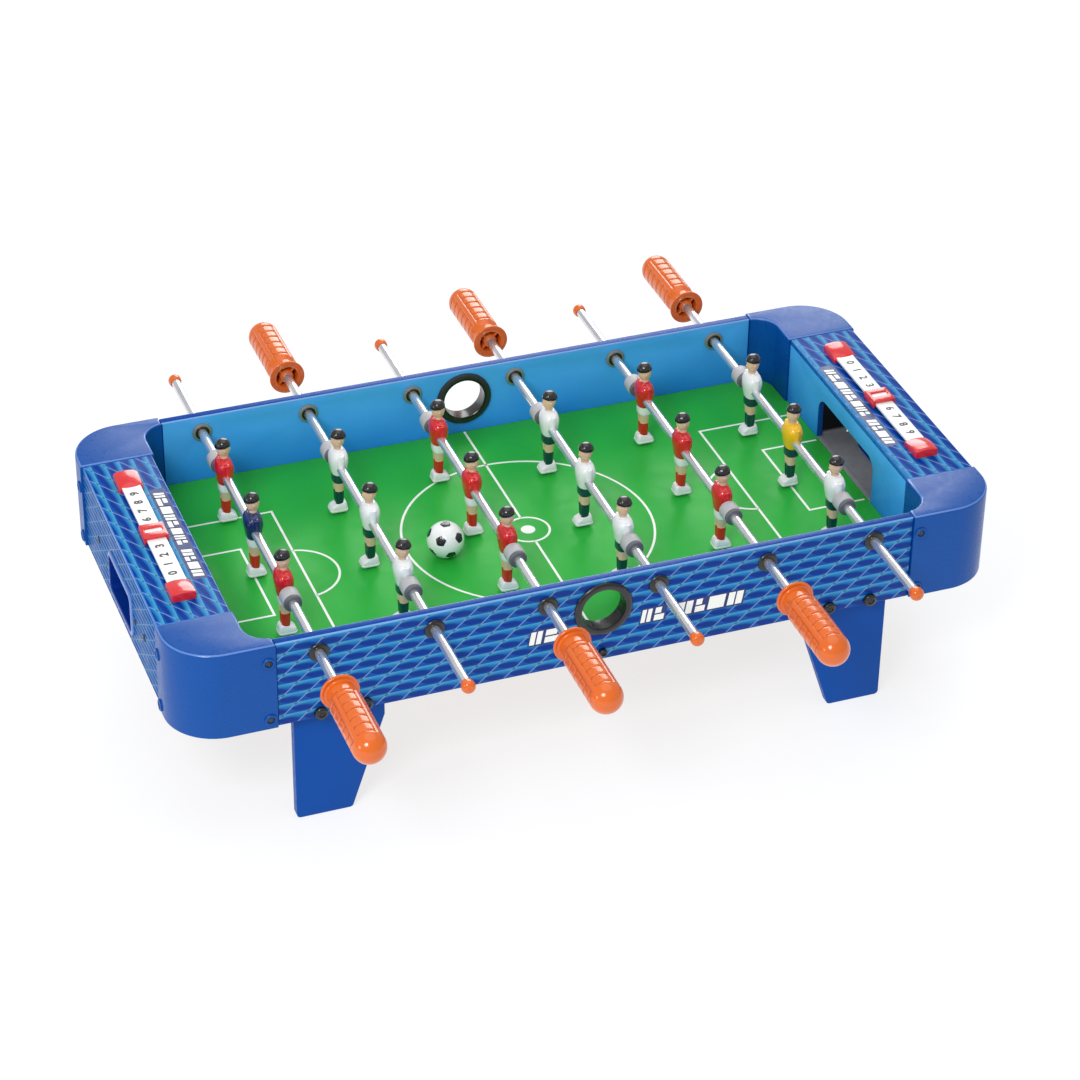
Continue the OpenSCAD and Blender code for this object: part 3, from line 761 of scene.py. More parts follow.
def make_end_top(side):
    """The printed board over an end."""
    s = Shape()
    outline = rounded(END_TOP_LOW.x, -END_HALF + 0.05, END_TOP_HIGH.x, END_HALF - 0.05, 0.8, 3)
    s.board(outline, END_TOP_LOW.z, END_TOP_HIGH.z, 0.8, kinds=(1, 1, 0))
    s.move(mirror(side))
    looks = "top_print top_edge"
    s.piece(f"end_board_{END_NAME[side]}", looks, "table", [f"end_top_{END_NAME[side]}"])


def make_end_motif(side):
    """The same generic bars along each end, on a navy band between scorer and pitch."""
    s = Shape()
    band_x, band_half = 296.5, 68
    low, height, rim = -4.2, 8.4, 2.2
    band = rounded(-band_half, low - rim, band_half, low + height + rim, 2.5)
    s.board(band, -0.2, 0.05, 0.02, steps=1)
    bar_row(s, low, height, 0.98)
    # reads from the far side to the near side, with its top towards +X
    s.move(shift(side * band_x, 0, BODY_TOP) @ turn(-90, "Z"))
    s.piece(f"end_motif_{END_NAME[side]}", "navy_print white_print", "table")


# ---------- corner pieces ----------


def corner_plan(skin):
    """The plan of the +X, +Y corner piece, drawn in by skin, anticlockwise."""
    inner_x, inner_y = CORNER_IN_X - CORNER_IN_R, CORNER_IN_Y - CORNER_IN_R
    r, inner_r = CORNER_R - skin, CORNER_IN_R + skin
    joint_x = PANEL_END + skin
    stop = math.degrees(math.acos(max(-1.0, min(1.0, (joint_x - inner_x) / inner_r))))
    return (
        arc(CORNER_X - CORNER_R, CORNER_Y - CORNER_R, r, 0, 90, 20)
        + [(joint_x, CORNER_Y - skin)]
        + arc(inner_x, inner_y, inner_r, stop, 0, 14)
        + [(CORNER_IN_X + skin, END_HALF + skin), (CORNER_X - skin, END_HALF + skin)]
    )


def boss(s, place, screw_kind):
    """A round boss with a sunk cross-head screw."""
    r, bore, h = 5, 2.9, BOSS_H
    rim = [(0, -1), (r, -1), (r, h - 0.5), (r - 0.5, h), (bore + 0.3, h), (bore, 0.2), (0, 0.2)]
    head = [(0, 0), (bore - 0.1, 0), (bore - 0.1, 0.6), (bore - 0.6, 1.0)]
    head += [(1.2, 1.15), (0.9, 0.7), (0, 0.7)]
    s.lathe(rim, 0, place, 32)
    s.lathe(head, screw_kind, place, 24)


def make_corner(sx, sy):
    """A hollow shell with a rounded top edge, open below, and two screwed bosses on each face."""
    s = Shape()
    top = BODY_TOP + 1
    round_r, steps, highlight_bands = 2.4, 5, (3, 4)

    def ring(skin, z):
        return [(x, y, z) for x, y in corner_plan(skin)]

    rings = [ring(CORNER_SKIN, top - CORNER_SKIN), ring(CORNER_SKIN, BODY_BOTTOM)]
    rings += [ring(0.4, BODY_BOTTOM), ring(0, BODY_BOTTOM + 0.4)]
    # the inside of the shell is a darker blue, painted shade; two bands of the rounded top edge are paler,
    # a painted highlight
    kinds = [1, 0, 0]
    for k, (c, d) in enumerate(quarter(steps)):
        rings.append(ring(round_r * (1 - c), top - round_r + round_r * d))
        kinds.append(3 if k in highlight_bands else 0)
    s.rings(rings, kinds)
    # two bosses on the long side and two on the end, by height
    for z in (110, 163):
        boss(s, shift(PANEL_END + 6, CORNER_Y, z) @ ALONG_Y, 2)
    for z in (108, 156):
        boss(s, shift(CORNER_X, END_HALF + 6, z) @ turn(90, "Y"), 2)
    s.move(mirror(sx, sy))
    name = f"{LONG_NAME[sy]}_{END_NAME[sx]}"
    looks = "corner_blue corner_deep dark_screw corner_rim"
    s.piece(f"corner_shell_{name}", looks, "table", [f"corner_{name}"], 40)


# ---------- legs and fasteners ----------


def make_leg(sx, sy):
    """A board cut on a slope inside, narrow at the foot, with cut corners there."""
    s = Shape()
    name = f"{LONG_NAME[sy]}_{END_NAME[sx]}"
    low, high = span(f"leg_{name}")
    top, cut, soft = high.z, 3, 0.9
    foot = [(LEG_FOOT_IN + cut, 0), (LEG_OUT - cut, 0), (LEG_OUT - soft, soft), (LEG_OUT, cut)]
    head = [(LEG_OUT, top), (LEG_IN, top), (LEG_IN, LEG_SLOPE_Z)]
    outline = foot + head + [(LEG_FOOT_IN, cut), (LEG_FOOT_IN + soft, soft)]
    if sx < 0:
        outline = [(-x, z) for x, z in reversed(outline)]
    s.board(outline, -high.y, -low.y, 0.7, place=STAND_X)
    s.piece(f"leg_board_{name}", "leg_blue", "table", [f"leg_{name}"])


def make_bolts():
    """Round black caps with a shallow cross slot on the outside, shanks and hexagon nuts inside."""
    s = Shape()
    r, h, shank_r, nut_r, nut_t = 5.5, 4, 2.5, 4.6, 3.2
    leg_face = span("leg_back_right")[0].y
    cap = [(0, -0.5), (r, -0.5), (r, h - 1.6), (r - 0.5, h - 0.7), (r - 1.6, h), (2.6, h), (2.2, h - 0.8)]
    cap.append((0, h - 0.8))
    base = leg_face - PANEL_OUT
    end = base - nut_t
    nut = [(nut_r - 0.6, base), (nut_r, base - 0.5), (nut_r, end + 0.5), (nut_r - 0.6, end)]
    nut += [(shank_r - 0.3, end), (shank_r - 0.3, base)]
    for sy in SIDES:
        for x in (0, *(sx * v for sx in SIDES for v in LEG_BOLT_X)):
            place = shift(x, sy * PANEL_OUT, LEG_BOLT_Z) @ turn(-90 * sy, "X")
            # the bolt in the middle of a panel has a smaller head, a little higher up
            share = 1 if x else MIDDLE_BOLT_SHARE
            head = shift(0, 0, 0 if x else MIDDLE_BOLT_LIFT) @ place
            s.lathe([(radius * share, z) for radius, z in cap], 0, head, 36)
            slot = 1.9 * share
            for a in (45, 135):
                s.bar((-slot, -0.35, h - 1.2), (slot, 0.35, h - 0.4), 0.1, 1, head @ turn(a, "Z"))
            end = (leg_face - 5 if x else PANEL_IN - 20) - PANEL_OUT
            s.lathe([(0, -0.2), (shank_r, -0.2), (shank_r, end), (0, end)], 1, place, 20)
            if x:
                s.lathe(nut, 1, place, 6)
    s.piece("bolt_caps", "black_plastic dark_screw", "table", ["leg_bolts"])


def make_wall_screws():
    """Pan-head screws of the outer end walls; the corner pieces hold their own."""
    s = Shape()
    for sx in SIDES:
        for sy in SIDES:
            # place along the wall, height and head radius
            for y, z, r in ((73, 136, 3.2), (43, 131, 2.2)):
                head = [(0, -3), (r, -0.3), (r, 0.35), (r - 0.7, 0.95)]
                head += [(r * 0.4, 1.0), (r * 0.3, 0.6), (0, 0.6)]
                s.lathe(head, 0, shift(sx * OUTER_HIGH.x, sy * y, z) @ turn(90 * sx, "Y"), 28)
    s.piece("wall_screws", "dark_screw", "table", ["corner_screws"])


# ---------- rings and bushes ----------


def make_serve_ring(side):
    """A satin black flange with a soft edge, its barrel, and the clip ring inside."""
    s = Shape()
    place = shift(0, 0, SERVE_Z) @ turn(-90 * side, "X")
    inner, barrel, outer = SERVE_IN_R, SERVE_BARREL_R, SERVE_OUT_R
    face, back, clip_face = PANEL_OUT, PANEL_IN - SERVE_FLANGE, PANEL_IN - FIT
    top = face + SERVE_FLANGE
    flange = [(inner, back + 0.5), (inner + 0.5, back), (barrel - 0.05, back), (barrel - 0.05, face)]
    flange += [(outer - 0.2, face), (outer, face + 0.4), (outer - 0.3, face + 1.3)]
    flange += [(outer - 1.2, top - 0.5), (outer - 2.6, top)]
    flange += [(inner + 1.4, top), (inner + 0.4, top - 0.5), (inner, face + 1.2)]
    clip = [(barrel, back), (outer - 1.4, back), (outer - 0.3, back + 0.7), (outer, back + 1.7)]
    clip += [(outer, clip_face), (barrel, clip_face)]
    s.lathe(flange, 0, place, 72)
    s.lathe(clip, 1, place, 72)
    replaced = ["serve_rings"] if side > 0 else []
    looks = "black_plastic dark_grey_plastic"
    s.piece(f"serve_ring_{LONG_NAME[side]}", looks, "table", replaced)


def make_bush(i, side):
    """A rod's bush: a black flange outside, its barrel, and a grey ring inside."""
    s = Shape()
    place = shift(ROD_X[i], 0, ROD_Z) @ turn(-90 * side, "X")
    bore, barrel, outer = ROD_R + RUN_GAP, BUSH_BARREL_R, BUSH_FLANGE_R
    face, back, ring_face = PANEL_OUT, PANEL_IN - BUSH_FLANGE, PANEL_IN - FIT
    flange = [(bore, back), (barrel - 0.05, back), (barrel - 0.05, face), (outer - 0.1, face)]
    flange += [(outer, face + 0.5), (outer - 0.4, face + 1.3), (outer - 1.3, face + 1.8)]
    flange += [(bore + 1.6, face + BUSH_FLANGE), (bore + 0.7, face + 1.7), (bore, face + 1.2)]
    ring = [(barrel, back), (outer - 0.9, back), (outer - 0.2, back + 0.5), (outer, back + 1.2)]
    ring += [(outer, ring_face), (barrel, ring_face)]
    s.lathe(flange, 0, place, 40)
    s.lathe(ring, 1, place, 40)
    replaced = ["rod_bushes"] if i == 1 and side > 0 else []
    looks = "black_plastic bush_ring"
    s.piece(f"rod_bush_{i}_{LONG_NAME[side]}", looks, "table", replaced)


# ---------- goals ----------


def make_ball_return(side):
    """A blue rim with a rolled edge, and the sleeve and shelf behind it."""
    s = Shape()
    wall, joint, rim = 1.6, 0.15, RETURN_RIM
    low_y, low_z, high_z = RETURN_HALF - joint, RETURN_LOW + joint, RETURN_HIGH - joint
    face, back = OUTER_HIGH.x, TRAY_HIGH.x + joint
    profile = [(wall, back), (0, back), (0, face + FIT), (-rim, face + FIT), (-rim, face + 0.7)]
    profile += [(-rim + 0.7, face + 1.5), (-rim + 1.8, face + 1.8)]
    profile += [(wall - 1.2, face + 1.8), (wall, face + 1.1)]
    shelf_z = RETURN_LOW + 8
    cut_x = OUTER_LOW.x - 3
    rings = []
    for skin, x in profile:
        loop = rounded(-low_y + skin, low_z + skin, low_y - skin, high_z - skin, RETURN_R - skin, 8)
        # the sleeve is cut back above the shelf
        rings.append([(cut_x if x < cut_x and z > shelf_z else x, y, z) for y, z in loop])
    rings.append(rings[0])
    # the rolled rim's face takes the paler blue, a painted highlight; the sleeve's faces take the darker
    # blue, painted shade
    s.rings(rings, [1, 1, 0, 0, 0, 0, 0, 1, 1], mirror(side), caps=False)
    replaced = ["ball_returns"] if side > 0 else []
    s.piece(f"ball_return_rim_{END_NAME[side]}", "corner_rim corner_deep", "table", replaced)


def make_tray_apron(side):
    """Two plates beside the ball return that close the gap between the tray and the outer wall."""
    s = Shape()
    gap = 0.1
    for sy in SIDES:
        # they reach a little way under the sleeve's rounded corners
        a, b = sorted((sy * (RETURN_HALF - RETURN_R), sy * TRAY_HIGH.y))
        low, high = (TRAY_HIGH.x + gap, a, TRAY_LOW.z), (OUTER_LOW.x - gap, b, RETURN_LOW - gap)
        s.bar(low, high, 0.2, 0, mirror(side))
    s.piece(f"goal_tray_apron_{END_NAME[side]}", "tray_plastic", "table")


def carry(node, material):
    """Keeps a CAD node's shape and gives it a material."""
    mesh = nodes[node].data
    mesh.materials.clear()
    mesh.materials.append(M[material])


# ---------- scorers ----------


def make_score_strip(side):
    """The white strip on the end board."""
    s = Shape()
    half = SCORE_HALF - 3
    x = side * SCORE_X
    outline = rounded(x - STRIP_W / 2, -half, x + STRIP_W / 2, half, 0.8, 3)
    s.board(outline, STRIP_Z, STRIP_TOP, 0.5)
    replaced = ["score_strips"] if side > 0 else []
    s.piece(f"score_strip_{END_NAME[side]}", "strip_white", "table", replaced)


def make_digits(side):
    """Ten plain digits along a strip, read from the pitch's side at each end."""
    s = Shape()
    step, size, middle_digit = 13.3, 9.8, 4.5
    for digit in range(10):
        text = bpy.data.curves.new("digit", "FONT")
        text.body = str(digit)
        text.size = size
        text.extrude = 0.12
        text.offset = 0.36
        text.align_x = "CENTER"
        text.align_y = "CENTER"
        text.resolution_u = 3
        holder = bpy.data.objects.new("digit", text)
        bpy.context.scene.collection.objects.link(holder)
        bpy.context.view_layer.update()
        mesh = bpy.data.meshes.new_from_object(holder.evaluated_get(bpy.context.evaluated_depsgraph_get()))
        # digits 4 and 5 lie under the marker at rest
        along = -side * (digit - middle_digit) * step
        mesh.transform(shift(side * SCORE_X, along, STRIP_TOP + FIT) @ turn(-90 * side, "Z"))
        s.bm.from_mesh(mesh)
        bpy.data.objects.remove(holder)
        bpy.data.meshes.remove(mesh)
        bpy.data.curves.remove(text)
    bmesh.ops.remove_doubles(s.bm, verts=s.bm.verts, dist=0.005)
    s.piece(f"score_digits_{END_NAME[side]}", "ink_black", "table", smooth=30)


def arch_ring(y, half, height, crown):
    """A cross-section of a bracket at one place along Y: flat below, crowned above."""
    low = BODY_TOP + FIT
    steps, soft = 10, 0.315
    ring = [(-half, y, low), (half, y, low)]
    for k in range(steps + 1):
        t = 1 - 2 * k / steps
        ease = soft if k in (0, steps) else 0.0
        ring.append((t * (half - ease), y, low + height - crown * t * t - ease))
    return ring


def make_bracket(sx, sy):
    """An arched red end bracket: upright outer end, roof that falls towards the marker."""
    s = Shape()
    full, fall, half, stations = 7.4, 2.3, SCORE_W / 2, 14
    inner = SCORE_HALF - SCORE_BRACKET
    # both ends close with eased edges
    rows = [arch_ring(inner + 0.01, half - 0.9, full - fall - 0.9, 1.3)]
    rows.append(arch_ring(inner, half - 0.21, full - fall - 0.35, 1.5))
    for k in range(1, stations):
        t = k / stations
        height = full - fall * max(0.0, 1 - t / 0.62) ** 1.6
        rows.append(arch_ring(inner + SCORE_BRACKET * t, half, height, 1.5))
    rows.append(arch_ring(SCORE_HALF - 0.45, half - 0.2, full - 0.3, 1.5))
    rows.append(arch_ring(SCORE_HALF, half - 1.5, full - 1.6, 1.3))
    s.rings(rows, 0, shift(sx * SCORE_X, 0, 0) @ mirror(1, sy))
    name = f"{END_NAME[sx]}_{LONG_NAME[sy]}"
    replaced = ["score_brackets"] if (sx, sy) == (1, 1) else []
    s.piece(f"score_bracket_{name}", "scorer_red", "table", replaced, 50)


def make_marker(side):
    """The sliding red marker, with a white-bottomed window across it."""
    s = Shape()
    name = END_NAME[side]
    low, top = (corner.z for corner in span(f"score_marker_{name}"))
    half, length, crown = SCORE_W / 2, MARKER_HALF, 0.8
    # the cover over the strip, its window a rounded slot
    roof = STRIP_TOP + 0.35
    x, y = 7.1, 2.9
    window = rounded(-x, -y, x, y, 1.8, 8)[::-1]
    s.board(rounded(-half, -length, half, length, 1.2, 5), roof, top, 0.7, [window])
    for v in s.bm.verts:
        if v.co.z > (roof + top) / 2:
            v.co.z -= crown * (v.co.x / half) ** 2
    # the two skirts that reach down beside the strip
    for skirt in SIDES:
        a, b = sorted((skirt * (STRIP_W / 2 + 0.35), skirt * half))
        s.bar((a, -length, low), (b, length, roof + 0.4), 0.3)
    # the light floor of the window lies just above the strip's own
    x, y = x + 0.6, y + 0.6
    s.bar((-x, -y, roof - FIT), (x, y, top - 1.5), 0.1, 1)
    s.move(shift(side * SCORE_X, 0, 0))
    looks = "scorer_red strip_white"
    s.piece(f"marker_slide_{name}", looks, f"scorer_{name}", [f"score_marker_{name}"])


# ---------- ball ----------


def make_ball():
    """A football: twelve black pentagons on white, each panel a little crowned between its seams."""
    radius = span("ball")[1].z - middle("ball").z
    golden = (1 + 5**0.5) / 2
    # one pentagon points straight up, and the ball is then turned about that one
    tilt = Matrix.Rotation(math.radians(37), 3, "Z") @ Matrix.Rotation(math.atan(1 / golden), 3, "X")
    spots, hexes = [], []
    for a in SIDES:
        for b in SIDES:
            g, h = b * golden, a / golden
            spots += [(0, a, g), (a, g, 0), (g, 0, a)]
            hexes += [(0, g, h), (h, 0, g), (g, h, 0)]
            hexes += [(a, b, c) for c in SIDES]
    spots = [tilt @ Vector(p).normalized() for p in spots]
    hexes = [tilt @ Vector(p).normalized() for p in hexes]
    # the pentagons are smaller than on a full-size ball
    patch = 1.48
    seam_w, seam_depth = 0.028, 0.22

    def nearness(d):
        """Angles to the nearest pentagon and to the two nearest hexagons."""
        first, second = sorted(d.angle(p) for p in hexes)[:2]
        return patch * min(d.angle(p) for p in spots), first, second

    s = Shape()
    bmesh.ops.create_icosphere(s.bm, subdivisions=6, radius=1)
    for v in s.bm.verts:
        d = v.co.normalized()
        spot, first, second = nearness(d)
        gap = min(abs(spot - first), second - first)
        v.co = d * (radius - seam_depth * max(0.0, 1 - gap / seam_w) ** 2)
    for f in s.bm.faces:
        spot, first, second = nearness(f.calc_center_median().normalized())
        f.material_index = int(spot < first)
    s.move(Matrix.Translation(middle("ball")))
    s.piece("match_ball", "ball_white ball_black", "ball", ["ball"], smooth=180)


# ---------- rods ----------


def rod_place(i):
    """Local +Z runs from the middle of the rod to its handle."""
    return shift(ROD_X[i], 0, ROD_Z) @ turn(-90 * HANDLE_SIDE[i], "X")


def reach_of(node):
    """Nearest and furthest distance of a node from the middle plane."""
    low, high = span(node)
    return sorted((abs(low.y), abs(high.y)))


def make_rod(i):
    """The plated tube, its far end closed by the cap."""
    s = Shape()
    near, far = sorted(corner.y * HANDLE_SIDE[i] for corner in span(f"rod_tube_{i}"))
    r, bore, bevel = ROD_R, ROD_R - 1, 0.2
    tube = [(bore, near), (r - bevel, near), (r, near + bevel)]
    tube += [(r, far - bevel), (r - bevel, far), (bore, far)]
    s.lathe(tube, 0, rod_place(i), 40)
    s.piece(f"rod_{i}_tube", "rod_chrome", f"rod_{i}", [f"rod_tube_{i}"])


GRIP_RIDGES = 4
GRIP_GROOVES = 5
GRIP_TURN = math.radians(50)


def grip_bend(length, grip_r):
    """The handle's relief: ridges along it, and arched grooves across each panel between them."""
    start, stop = 17.0, length - 15.0
    pitch = (stop - start) / (GRIP_GROOVES + 0.5)

    def limit(v):
        return max(0.0, min(1.0, v))

    def bend(r, h, a):
        if r < grip_r - 3 or not start - 3 < h < stop + 3:
            return r
        fade = limit((h - start + 3) / 4) * limit((stop + 3 - h) / 4)
        across = (((a - GRIP_TURN) / (2 * math.pi) * GRIP_RIDGES) % 1.0 - 0.5) * 2
        arch = 1 - across * across
        # the ridge is a narrow rib with a groove on each side
        from_ridge = (1 - abs(across)) * math.pi * grip_r / GRIP_RIDGES
        cut = 0.8 * math.exp(-(((from_ridge - 2.6) / 0.7) ** 2))
        panel = limit((from_ridge - 2.6) / 1.2)
        depth = 0.25 - 0.25 * arch
        for k in range(GRIP_GROOVES + 1):
            at = start + pitch * (k + 0.6) - 2.2 * arch
            depth += 0.95 * math.exp(-(((h - at) / 0.75) ** 2))
        return r - fade * (cut + depth * panel)

    return bend


def make_handle(i):
    """A hollow grip with a flared mouth, a waist and a round tip, on a ribbed hub."""
    near, far = reach_of(f"handle_{i}")
    length = far - near
    grip_r, flange_r, waist_r = 13.5, 15.5, 11.1
    mouth_r, mouth_depth, hub_r = grip_r - 3.8, 20, ROD_R + 1.8
    grip_start, stations, tip_steps = 17, 88, 18
    tip = length - grip_r
    profile = [(0, mouth_depth), (mouth_r - 0.4, mouth_depth), (mouth_r, 0.6), (mouth_r + 0.5, 0)]
    profile += [(flange_r - 0.6, 0), (flange_r - 0.1, 0.3), (flange_r, 0.9), (flange_r - 0.2, 1.8)]
    profile += [(flange_r - 0.8, 2.3), (14.0, 2.3), (13.3, 2.0), (12.3, 2.0), (11.6, 2.3), (11.25, 3.0)]
    profile += [(waist_r, 4.2), (waist_r, 8), (waist_r, 11.5), (11.4, 13), (12.2, 14.6), (13.0, 16)]
    profile += [(grip_r, grip_start + (tip - grip_start) * k / stations) for k in range(1, stations + 1)]
    profile += [(grip_r * c, tip + grip_r * d) for c, d in quarter(tip_steps)[1:-1]]
    profile.append((0, length))
    s = Shape()
    place = rod_place(i) @ shift(0, 0, near)
    s.lathe(profile, 0, place, 120, grip_bend(length, grip_r))
    local = place.inverted()
    # the sunk grooves take a darker orange, painted shade in the grooves
    for face in s.bm.faces:
        at = local @ face.calc_center_median()
        sunk = math.hypot(at.x, at.y) < grip_r - 0.6
        face.material_index = int(sunk and 18 < at.z < tip - 2)
    # the hub on the rod, and its four ribs
    end = mouth_depth + 0.5
    s.lathe([(ROD_R, 1.2), (hub_r - 0.3, 1.2), (hub_r, 1.5), (hub_r, end), (ROD_R, end)], 0, place, 32)
    for a in (45, 135, 225, 315):
        s.bar((hub_r - 0.3, -0.8, 2.2), (mouth_r + 0.3, 0.8, end), 0.25, 0, place @ turn(a, "Z"))
    looks = "handle_orange handle_groove"
    s.piece(f"rod_{i}_handle", looks, f"rod_{i}", [f"handle_{i}"], 60)


def make_end_cap(i):
    """A small round orange knob with a faint dimple in its tip."""
    s = Shape()
    near, far = reach_of(f"end_cap_{i}")
    r = span(f"end_cap_{i}")[1].z - ROD_Z
    wide, steps = near + 3.4, 10
    profile = [(0, near + 6), (ROD_R, near + 6), (ROD_R, near), (ROD_R + 0.7, near)]
    profile += [(r - 0.5, near + 0.8), (r - 0.1, near + 2.0), (r, wide)]
    profile += [(r * c + 1.2 * d, wide + (far - wide) * d) for c, d in quarter(steps)[1:]]
    profile += [(0.8, far - 0.35), (0, far - 0.4)]
    s.lathe(profile, 0, rod_place(i) @ turn(180, "X"), 40)
    s.piece(f"rod_{i}_cap", "handle_orange", f"rod_{i}", [f"end_cap_{i}"], 50)


def make_bumpers(i):
    """Light sleeves with rounded shoulders, each with a ring on its -Y end in a darker grey, painted shade
    on the end that faces -Y.
    """
    s = Shape()
    r = span(f"bumpers_{i}")[1].z - ROD_Z
    bore = ROD_R + RUN_GAP
    start, reach, ring_w, lap = 12.4, 27.5, 3, 0.1
    for side in SIDES:
        a, b = sorted((side * start, side * reach))
        c = a + ring_w
        y = -HANDLE_SIDE[i] * PLAYER_SHIFT + side * PLAYER_PITCH
        place = shift(ROD_X[i], y, ROD_Z) @ ALONG_Y
        sleeve = [(bore, c - lap), (r - 0.7, c - lap), (r - 0.2, c + 0.3), (r, c + 0.9)]
        sleeve += [(r, b - 1.4), (r - 0.4, b - 0.5), (r - 1.3, b), (bore, b)]
        ring = [(bore, a), (bore + 2.2, a), (bore + 2.6, a + 0.35), (r - 1.9, a + 0.35), (r - 1.3, a)]
        ring += [(r - 0.9, a + 0.4), (r - 0.6, a + 1.2), (r - 0.6, c + lap), (bore, c + lap)]
        s.lathe(sleeve, 0, place, 48)
        s.lathe(ring, 1, place, 48)
    looks = "bumper_sleeve bumper_ring"
    s.piece(f"rod_{i}_bumpers", looks, f"rod_{i}_carriage", [f"bumpers_{i}"])


# ---------- players ----------


def bell(v, width):
    """A smooth bump of height 1 at v = 0."""
    return math.exp(-((v / width) ** 2))


def oval(cx, cy, z, rx, ry, power=2.3, steps=40):
    """A closed ring at height z, squarer as power grows."""
    ring = []
    for c, d, _ in around(steps):
        x = rx * math.copysign(abs(c) ** (2 / power), c)
        y = ry * math.copysign(abs(d) ** (2 / power), d)
        ring.append((cx + x, cy + y, z))
    return ring


def smooth_rows(rows, between=3):
    """Adds rows on a smooth curve between the given ones, whose last item is their kind."""
    out = []
    for k in range(len(rows) - 1):
        a, b = rows[k], rows[k + 1]
        before = rows[k - 1] if k and rows[k - 1][-1] == a[-1] else a
        after = rows[k + 2] if k + 2 < len(rows) and rows[k + 2][-1] == b[-1] else b
        for m in range(between):
            t = m / between
            rise = 3 * t**2 - 2 * t**3
            leave, arrive = t**3 - 2 * t**2 + t, t**3 - t**2
            row = []
            for p, q, r, s in zip(before[:-1], a[:-1], b[:-1], after[:-1]):
                row.append((1 - rise) * q + rise * r + leave * (r - p) / 2 + arrive * (s - q) / 2)
            out.append((*row, a[-1]))
    out.append(rows[-1])
    return out


SHIRT, SHORTS, SOCKS, BOOT, SKIN, HAIR = range(6)


def row_ovals(rows):
    """A ring for each row of centre x, height, half depth, half width, squareness and kind."""
    return [oval(cx, 0, z, rx, ry, p) for cx, z, rx, ry, p, _ in rows]


def one_kind(kind, *rows):
    """The same kind put at the end of each row."""
    return [(*row, kind) for row in rows]


def figure_body(s, place):
    """Shirt, shorts, thighs, socks: rows of centre x, height, half depth, half width and squareness."""
    shirt = one_kind(
        SHIRT,
        (0.0, -6.8, 6.0, 7.6, 2.4),
        (0.0, -4.6, 6.5, 8.3, 2.4),
        (0.1, -1.0, 7.0, 9.0, 2.5),
        (0.1, 3.0, 7.6, 10.0, 2.5),
        (0.0, 7.0, 7.8, 10.8, 2.5),
        (-0.1, 10.5, 7.2, 10.8, 2.5),
        (-0.2, 13.6, 6.0, 8.8, 2.4),
        (-0.2, 15.4, 4.4, 5.6, 2.2),
        (-0.1, 16.3, 3.5, 3.8, 2.0),
    )
    # the hem stands a little out over the shorts
    s.rings([oval(0, 0, -6.6, 3.5, 5.5)] + row_ovals(smooth_rows(shirt)), SHIRT, place)
    shorts = one_kind(
        SHORTS,
        (0.2, -15.0, 5.2, 6.7, 2.6),
        (0.2, -14.0, 5.7, 7.2, 2.6),
        (0.1, -10.0, 5.8, 7.2, 2.5),
        (0.0, -5.4, 5.4, 6.8, 2.4),
    )
    s.rings(row_ovals(smooth_rows(shorts)), SHORTS, place)
    leg = one_kind(
        SOCKS,
        (0.2, -36.8, 3.6, 4.6, 2.5),
        (0.2, -33.0, 3.9, 4.9, 2.5),
        (0.2, -25.2, 4.2, 5.2, 2.5),
        (0.2, -24.2, 4.25, 5.3, 2.5),
    )
    leg += one_kind(
        SKIN,
        (0.2, -24.0, 4.0, 5.0, 2.5),
        (0.2, -20.5, 4.3, 5.5, 2.5),
        (0.2, -17.0, 4.6, 6.1, 2.5),
        (0.2, -13.0, 4.8, 6.4, 2.5),
    )
    rows = smooth_rows(leg)
    rings = []
    for row, ring in zip(rows, row_ovals(rows)):
        # a shallow crease down the front and back parts the legs
        rings.append([(x - math.copysign(0.9 * bell(y, 1.1), x - row[0]), y, z) for x, y, z in ring])
    s.rings(rings, [row[-1] for row in rows[:-1]], place)


def figure_arms(s, place):
    """Arms held against the sides: rows of centre x, height, distance from the middle and half width."""
    sleeve = [(-0.2, 14.0, 8.4, 1.6), (0.0, 13.2, 9.3, 2.6), (0.3, 10.0, 10.4, 3.0)]
    sleeve += [(0.6, 6.0, 10.7, 2.9), (0.8, 3.6, 10.6, 2.7), (0.8, 3.0, 10.5, 2.2)]
    widest, flat = 12.0, 0.82
    for side in SIDES:
        rings = []
        for cx, z, cy, r in sleeve:
            cy = min(cy, widest - r * flat)
            rings.append(oval(cx, side * cy, z, r * 1.1, r * flat, 2.1, 20))
        s.rings(rings, SHIRT, place)


# points in each ring of the head and the hair
HEAD_STEPS = 40


def figure_head(s, place):
    """A plain oval face with a small nose, shallow eye sockets and a mouth line, and ears."""
    neck = [(0.3, 14.6, 3.4, 3.5), (0.4, 16.4, 3.2, 3.3), (0.5, 18.5, 3.2, 3.3)]
    s.rings([oval(cx, 0, z, rx, ry, 2.0, 32) for cx, z, rx, ry in neck], SKIN, place)
    centre, half_h, half_x, half_y = 25.2, 8.1, 5.7, 5.1
    rows = 24
    rings = []
    for k in range(1, rows):
        a = -math.pi / 2 + math.pi * k / rows
        h, wide = math.sin(a), math.cos(a) ** 0.86
        jaw = 1 - 0.12 * max(0.0, -h - 0.1)
        z = centre + half_h * h
        ring = []
        for c, d, _ in around(HEAD_STEPS):
            x = half_x * wide * c + 0.3 * max(0.0, -h)
            y = half_y * wide * jaw * d
            if c > 0:
                x += 0.95 * bell(y, 0.85) * bell(z - 23.6, 1.1)
                for eye in SIDES:
                    x -= 0.32 * bell(y - eye * 2.0, 0.9) * bell(z - 25.1, 0.75)
                x -= 0.2 * bell(y, 1.3) * bell(z - 20.9, 0.35)
            ring.append((x, y, z))
        rings.append(ring)
    s.rings(rings, SKIN, place)
    ear = [(0, 4.9, 22.9, 0.5, 0.4), (-0.1, 5.3, 23.6, 1.0, 0.6)]
    ear += [(-0.1, 5.35, 25.0, 1.1, 0.6), (-0.1, 5.0, 25.9, 0.6, 0.4)]
    for side in SIDES:
        s.rings([oval(x, side * y, z, rx, ry, 2, 12) for x, y, z, rx, ry in ear], SKIN, place)


